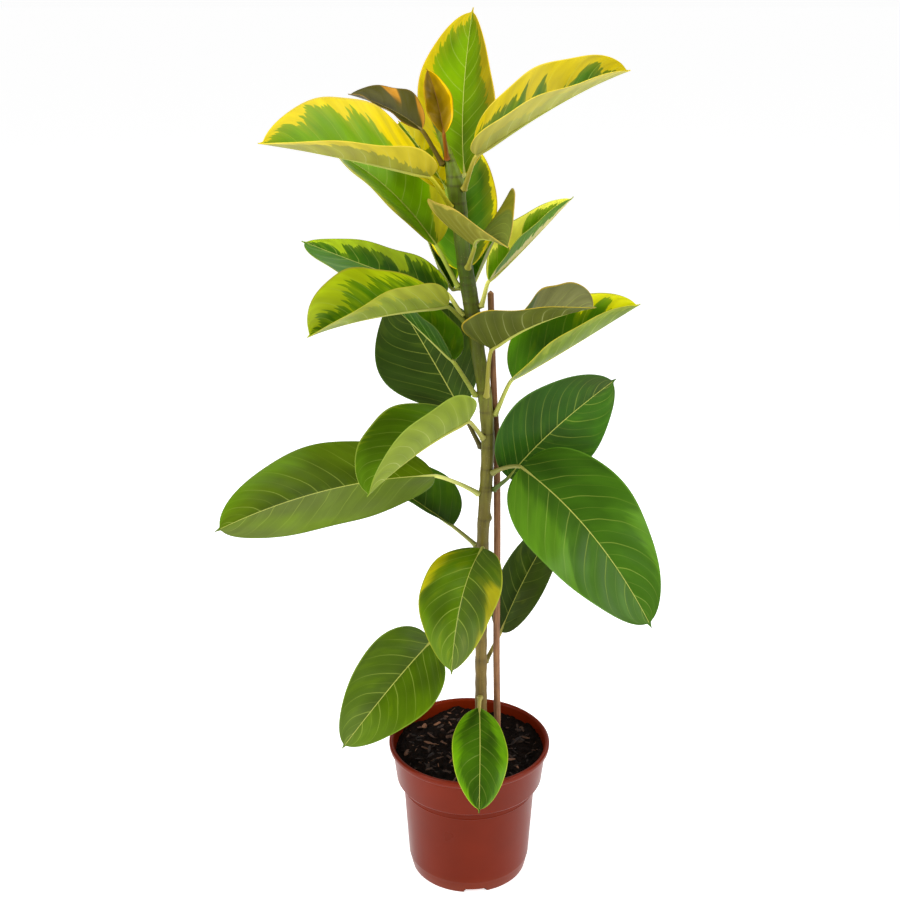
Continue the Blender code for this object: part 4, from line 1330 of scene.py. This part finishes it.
def draw_veins(tree, at, leaf):
    """How strongly a vein shows at a point, and how near the closest one is."""
    count = veins_of(leaf)[0]
    width = VEIN_MM / (length_mm(leaf) / count)
    draw(tree, at, (
        ("offset", "MULTIPLY", "right", 0.5),
        ("cycle", "MULTIPLY_ADD", "along", float(count), "offset"),
        ("near", "PINGPONG", "cycle", 0.5),
        ("line", "MapRange", "near", width, width * 0.25, 0.0, 1.0),
        ("glow", "MapRange", "near", width * 3, 0.0, 0.0, 0.2),
        ("finer", "MapRange", "near", 0.5 - width, 0.5, 0.0, 0.35),
        ("some", "MAXIMUM", "line", "glow"),
        ("both", "MAXIMUM", "some", "finer"),
        ("fade", "MapRange", "out", 0.2, 0.95, 1.0, 0.15),
        ("vein", "MULTIPLY", "both", "fade"),
    ))


print("pitch of the strong veins:", round(length_mm(longest) / veins_of(longest)[0]), "mm")

# %% [markdown]
# The green's edge starts as a curve through the points of the leaf's look. Broad lobes sway it, and a tooth
# for every few millimetres, each with its own length, breaks it. Both are read along the veins, so they
# lean as the real ones do.

# %% The green's edge
TEETH_MM = 4.0
# The lobes grow with the leaf, so they are counted in its map.
LOBES = 4.5
CURVE_FROM = -0.4
CURVE_TO = 1.0


def reach_curve(tree, along, points):
    """How far out the green reaches, drawn through given points of (place along the veins, reach)."""
    place = add_node(tree, "MapRange", {0: along, 1: CURVE_FROM, 2: CURVE_TO})
    node = add_node(tree, "FloatCurve", {1: place})
    node.mapping.extend = "HORIZONTAL"
    curve = node.mapping.curves[0]
    while len(curve.points) < len(points):
        curve.points.new(0.5, 0.5)
    for point, (at, reach) in zip(curve.points, points):
        point.location = ((at - CURVE_FROM) / (CURVE_TO - CURVE_FROM), (reach + 0.5) / 2)
        point.handle_type = "VECTOR"
    node.mapping.update()
    return add_node(tree, "Math", {0: node, 1: 2.0, 2: -0.5}, operation="MULTIPLY_ADD")


def draw_edge(tree, at, leaf, look):
    """How far beyond the green's edge a point lies."""
    left, right = (reach_curve(tree, at["along"], points) for points in (look.left, look.right))
    at["reach"] = add_node(tree, "Mix", {0: at["right"], 2: left, 3: right})
    draw(tree, at, (
        ("teeth_at", "MULTIPLY_ADD", "along", length_mm(leaf) / TEETH_MM, "place"),
        ("lobe_at", "MULTIPLY_ADD", "along", LOBES, "place"),
    ))
    teeth = add_node(tree, "TexVoronoi", {"W": at["teeth_at"], "Scale": 1.0}, voronoi_dimensions="1D")
    at["tooth"] = add_node(tree, "SeparateColor", {0: teeth.outputs["Color"]})
    at["from_tooth"] = teeth.outputs["Distance"]
    at["lobe"] = add_node(tree, "TexNoise", {"W": at["lobe_at"], "Scale": 1.0, "Detail": 2.0},
                          noise_dimensions="1D")
    draw(tree, at, (
        ("long", "MULTIPLY_ADD", "tooth", look.tooth * 1.6, -look.tooth),
        ("point", "MULTIPLY_ADD", "from_tooth", -look.tooth, "long"),
        ("swayed", "MULTIPLY_ADD", "lobe", look.sway * 2.4, -look.sway * 1.2),
        ("jagged", "ADD", "point", "swayed"),
        ("edge", "ADD", "reach", "jagged"),
        ("beyond", "SUBTRACT", "out", "edge"),
    ))


print("teeth on the longest leaf:", round(length_mm(longest) / TEETH_MM), "on lobes of",
      round(length_mm(longest) / LOBES), "mm")

# %% [markdown]
# No leaf has one even green. Soft streaks run along its veins, and a broad drift passes over the whole
# blade.

# %% Streaks and drift
STREAK_MM = 14
# Across a half, and in the drift, the pattern grows with the leaf and is counted in its map.
STREAKS_ACROSS = 1.5
DRIFT = 2.6


def draw_streaks(tree, at, leaf):
    """Soft streaks along the veins, and a broad drift over the blade."""
    draw(tree, at, (
        ("streak_u", "MULTIPLY_ADD", "along", length_mm(leaf) / STREAK_MM, "place"),
        ("streak_v", "MULTIPLY", "out", STREAKS_ACROSS),
    ))
    streak_at = add_node(tree, "CombineXYZ", {0: at["streak_u"], 1: at["streak_v"], 2: at["seed"]})
    at["streaks"] = add_node(tree, "TexNoise", {"Vector": streak_at, "Scale": 1.0, "Detail": 2.0})
    at["drift"] = add_node(tree, "TexNoise", {"Vector": at["uv"], "Scale": DRIFT, "Detail": 1.0,
                                              "W": at["seed"] + 3}, noise_dimensions="4D")


print("streaks are", STREAK_MM, "mm wide, the longest leaf's drift", round(length_mm(longest) / DRIFT), "mm")

# %% [markdown]
# The upper side shows the pattern in full. A deep and a plain green drift into each other, lime gathers
# where the green ends and in flecks, and beyond the edge lies the yellow, creamy in streaks. Each half is
# painted lighter or darker as it lies to the light: painted light and shade. A pale grey-green greys some
# leaves, most of all at the tip: partly a wax bloom, partly a painted sheen.

# %% The upper side's colours
DEEP_SHARE = 0.58
CREAM_SHARE = 1.2
# A pale grey-green that stands partly for a wax bloom and partly for a painted sheen, the reflection that
# some halves and tips show.
WAX_BLOOM_AND_SHEEN = "aab470"


def times(colour, share):
    """A linear colour made darker or lighter."""
    return [min(1, share * channel) for channel in colour[:3]] + [1]


def upper_colour(tree, at, look, green, margin):
    """The upper side's colour."""
    lime = [(first + second) / 2 for first, second in zip(green, margin)]
    # Painted sheen and wax bloom: the look's amounts for each half and the tip, spread by the drift, mix a
    # pale grey-green in.
    at["lies"] = add_node(tree, "Mix", {0: at["right"], 2: look.bloom[0], 3: look.bloom[1]})
    # Painted light and shade: each half's colour is multiplied by its own factor, as that half lies to the
    # light.
    half = add_node(tree, "Mix", {0: at["right"], 2: look.shade[0], 3: look.shade[1]})
    draw(tree, at, (
        ("deep", "MapRange", "drift", 0.62 - 0.3 * look.deep, 0.72 - 0.1 * look.deep),
        ("close", "MapRange", "beyond", -0.30, 0.0, 0.0, 0.4),
        ("fleck", "MapRange", "streaks", 0.60 - 0.16 * look.mottle, 0.66, 0.0, min(1.0, 1.2 * look.mottle)),
        ("creamy", "MapRange", "streaks", 0.35, 0.75, 0.0, 0.8),
        ("yellow", "MapRange", "beyond", -look.soft, look.soft),
        ("tipped", "MapRange", "u", 0.65, 1.0, 0.0, look.bloom[2]),
        ("spread", "MapRange", "drift", 0.3, 0.7, 0.5, 1.4),
        ("wax", "ADD", "lies", "tipped"),
        ("dusty", "MULTIPLY", "wax", "spread"),
    ))
    inner = coats(tree, green, (at["deep"], times(green, DEEP_SHARE)), (at["close"], lime),
                  (at["fleck"], lime))
    outer = coats(tree, margin, (at["creamy"], times(margin, CREAM_SHARE)))
    # The halves' painted light and shade multiply the colour, and the pale grey-green of wax bloom and
    # painted sheen lies over it.
    return coats(tree, inner, (at["yellow"], outer), (1.0, half, "MULTIPLY"), (at["dusty"], paint(WAX_BLOOM_AND_SHEEN)))


print("deep green has", DEEP_SHARE, "of the green's light")

# %% [markdown]
# The lower side is paler and duller. Its yellow is hardly yellower than its green, its margin's edge is
# clear, and the cells between the veins are a little darker in the middle: painted shade for the hollows
# between the raised veins.

# %% The lower side's colours
CELL_PAINTED_SHADE = 0.25


def lower_colour(tree, at, under, under_margin):
    """The lower side's colour."""
    draw(tree, at, (
        ("soft", "MapRange", "beyond", -0.02, 0.02),
        ("cells", "MapRange", "near", 0.1, 0.5, 0.0, CELL_PAINTED_SHADE),
    # Painted shade: each cell between the raised veins is darker in its middle, where it lies lowest.
    ))
    return coats(tree, under, (at["soft"], under_margin), (at["cells"], under, "MULTIPLY"))


print("cells between the veins darken by up to", CELL_PAINTED_SHADE)

# %% [markdown]
# Fig leaves are leathery, with a thick cuticle that grows its own wax. Above, it is smooth and the light
# glides over it in a broad sheen. Below, it is dull, and the veins stand out. Veins, a pale rim and a fine
# relief are the same on both sides, so one function finishes either.

# %% One side of a leaf
UPPER_SIDE = ("_waxy_cuticle", 0.34, 0.11, "b0c050")
LOWER_SIDE = ("_lower_cuticle", 0.5, 0.1, "c2c482")
RIM = (0.962, 0.982)
LEAF_RELIEF = 0.0003


def leaf_side(leaf, look, below):
    """A leaf's cuticle: grown smooth and waxy above, for a broad soft sheen, and duller below."""
    name, roughness, gloss, vein_colour = LOWER_SIDE if below else UPPER_SIDE
    green, margin, edge, under, under_margin = (paint(word) for word in look.colours.split()[:5])
    made, tree, shader = principled(leaf.name + name, green, roughness, IOR=1.45, Specular_IOR_Level=gloss)
    at = leaf_places(tree, leaf)
    draw_veins(tree, at, leaf)
    draw_edge(tree, at, leaf, look)
    draw_streaks(tree, at, leaf)
    if below:
        colour = lower_colour(tree, at, under, under_margin)
    else:
        colour = upper_colour(tree, at, look, green, margin)
    draw(tree, at, (
        ("shade", "MapRange", "streaks", 0.25, 0.75, 0.86, 1.12),
        ("lined", "MULTIPLY", "vein", look.veins),
        ("rim", "MapRange", "out", *RIM, 0.0, 0.85),
        ("raised", "MULTIPLY_ADD", "vein", 1.0 if below else -1.0, "streaks"),
    ))
    colour = coats(tree, colour, (1.0, at["shade"], "MULTIPLY"), (at["lined"], paint(vein_colour)),
                   (at["rim"], edge))
    skin(tree, shader, colour, at["raised"], 0.35, LEAF_RELIEF)
    return made


print("the pale rim starts at", RIM[0], "of the way out")

# %% [markdown]
# A petiole has a thin green skin without wax, darker or flushed brown where it leaves the stem. It pales on
# its way to the blade and runs on as the midrib, a yellowish ridge. A gradient through the air would lie
# differently on each leaf, since every stalk points another way. So the colour is read from the place along
# the stalk, which the leaf's map holds.

# %% The stalk's skin
FOOT_SHARE = 0.75
PALED_BY = 0.45
RIDGE_FROM = 0.6
RIDGE = "adb14e"
YOUNG_RIDGES = {"leaf_01": "8a6228", "leaf_02": "857638"}


def leaf_stalk(leaf, look):
    """The petiole's smooth young skin, darker or flushed brown at the stem, paling to the midrib's yellow."""
    made, tree, shader = principled(leaf.name + "_petiole_skin", paint("8e9048"), 0.45,
                                    Specular_IOR_Level=0.3)
    uv = add_node(tree, "UVMap", uv_map="leaf_map")
    along = add_node(tree, "SeparateXYZ", {0: uv}).outputs[0]
    base = paint(look.colours.split()[5])
    low = add_node(tree, "MapRange", {0: along, 1: 0.0, 2: PALED_BY})
    fade = add_node(tree, "MapRange", {0: along, 1: PALED_BY, 2: RIDGE_FROM})
    ridge = paint(YOUNG_RIDGES.get(leaf.name, RIDGE))
    colour = coats(tree, times(base, FOOT_SHARE), (low, base), (fade, ridge))
    tree.links.new(colour, shader.inputs["Base Color"])
    return made


print("leaves with a midrib of their own colour:", len(YOUNG_RIDGES))

# %% [markdown]
# Now each leaf is made: the two-layered grid for its blade, the stalk, and the map in which its finishes
# are drawn. The upper side, the lower side and the stalk each have their own material on the one piece.

# %% The blade and the stalk in one mesh
BLADE_CELLS = 104
SPAN_CELLS = 44
CROWDED_OUT = 0.9


def add_blade(edit, leaf):
    """Adds the two-layered blade and gives each vertex's place in the leaf's map."""
    bmesh.ops.create_grid(edit, x_segments=BLADE_CELLS, y_segments=SPAN_CELLS, size=0.5)
    lower = set(edit.faces)
    lifted = bmesh.ops.extrude_face_region(edit, geom=edit.faces[:], use_keep_orig=True)["geom"]
    top = {element for element in lifted if isinstance(element, bmesh.types.BMVert)}
    for face in edit.faces:
        face.material_index = 1 if face in lower else 0
    verts = list(edit.verts)
    place = np.array([(vert.co.x + 0.5, vert.co.y * 2) for vert in verts])
    u = (1 - np.cos(np.pi * place[:, 0])) / 2
    v = np.clip(place[:, 1], -1, 1)
    v = np.sign(v) * np.abs(v) ** CROWDED_OUT
    below = np.array([vert not in top for vert in verts])
    for vert, point in zip(verts, blade_points(leaf, u, v, below)):
        vert.co = point
    return dict(zip(verts, zip(u, v / 2 + 0.5)))


def add_stalk(edit, leaf):
    """Adds the stalk and gives each vertex's place in the leaf's map."""
    verts, path, places = stalk(edit, leaf)
    for face in {face for vert in verts for face in vert.link_faces}:
        face.material_index = 2
    return {vert: (places[np.argmin(((path - np.array(vert.co)) ** 2).sum(1))], 0.5) for vert in verts}


print("cells on each side of a blade:", BLADE_CELLS * SPAN_CELLS)


def leaf_piece(leaf):
    """The finished leaf."""
    edit = bmesh.new()
    mapped = add_blade(edit, leaf)
    mapped.update(add_stalk(edit, leaf))
    leaf_map = edit.loops.layers.uv.new("leaf_map")
    for face in edit.faces:
        for loop in face.loops:
            loop[leaf_map].uv = mapped[loop.vert]
    bmesh.ops.recalc_face_normals(edit, faces=edit.faces)
    look = LOOKS[leaf.name]
    finishes = [leaf_side(leaf, look, False), leaf_side(leaf, look, True), leaf_stalk(leaf, look)]
    return finish_piece(leaf.name.replace("leaf", "fig_leaf"), edit, finishes, leaf.name)


made = [leaf_piece(leaf) for leaf in LEAVES]
print("leaf faces:", sum(len(piece.data.polygons) for piece in made))
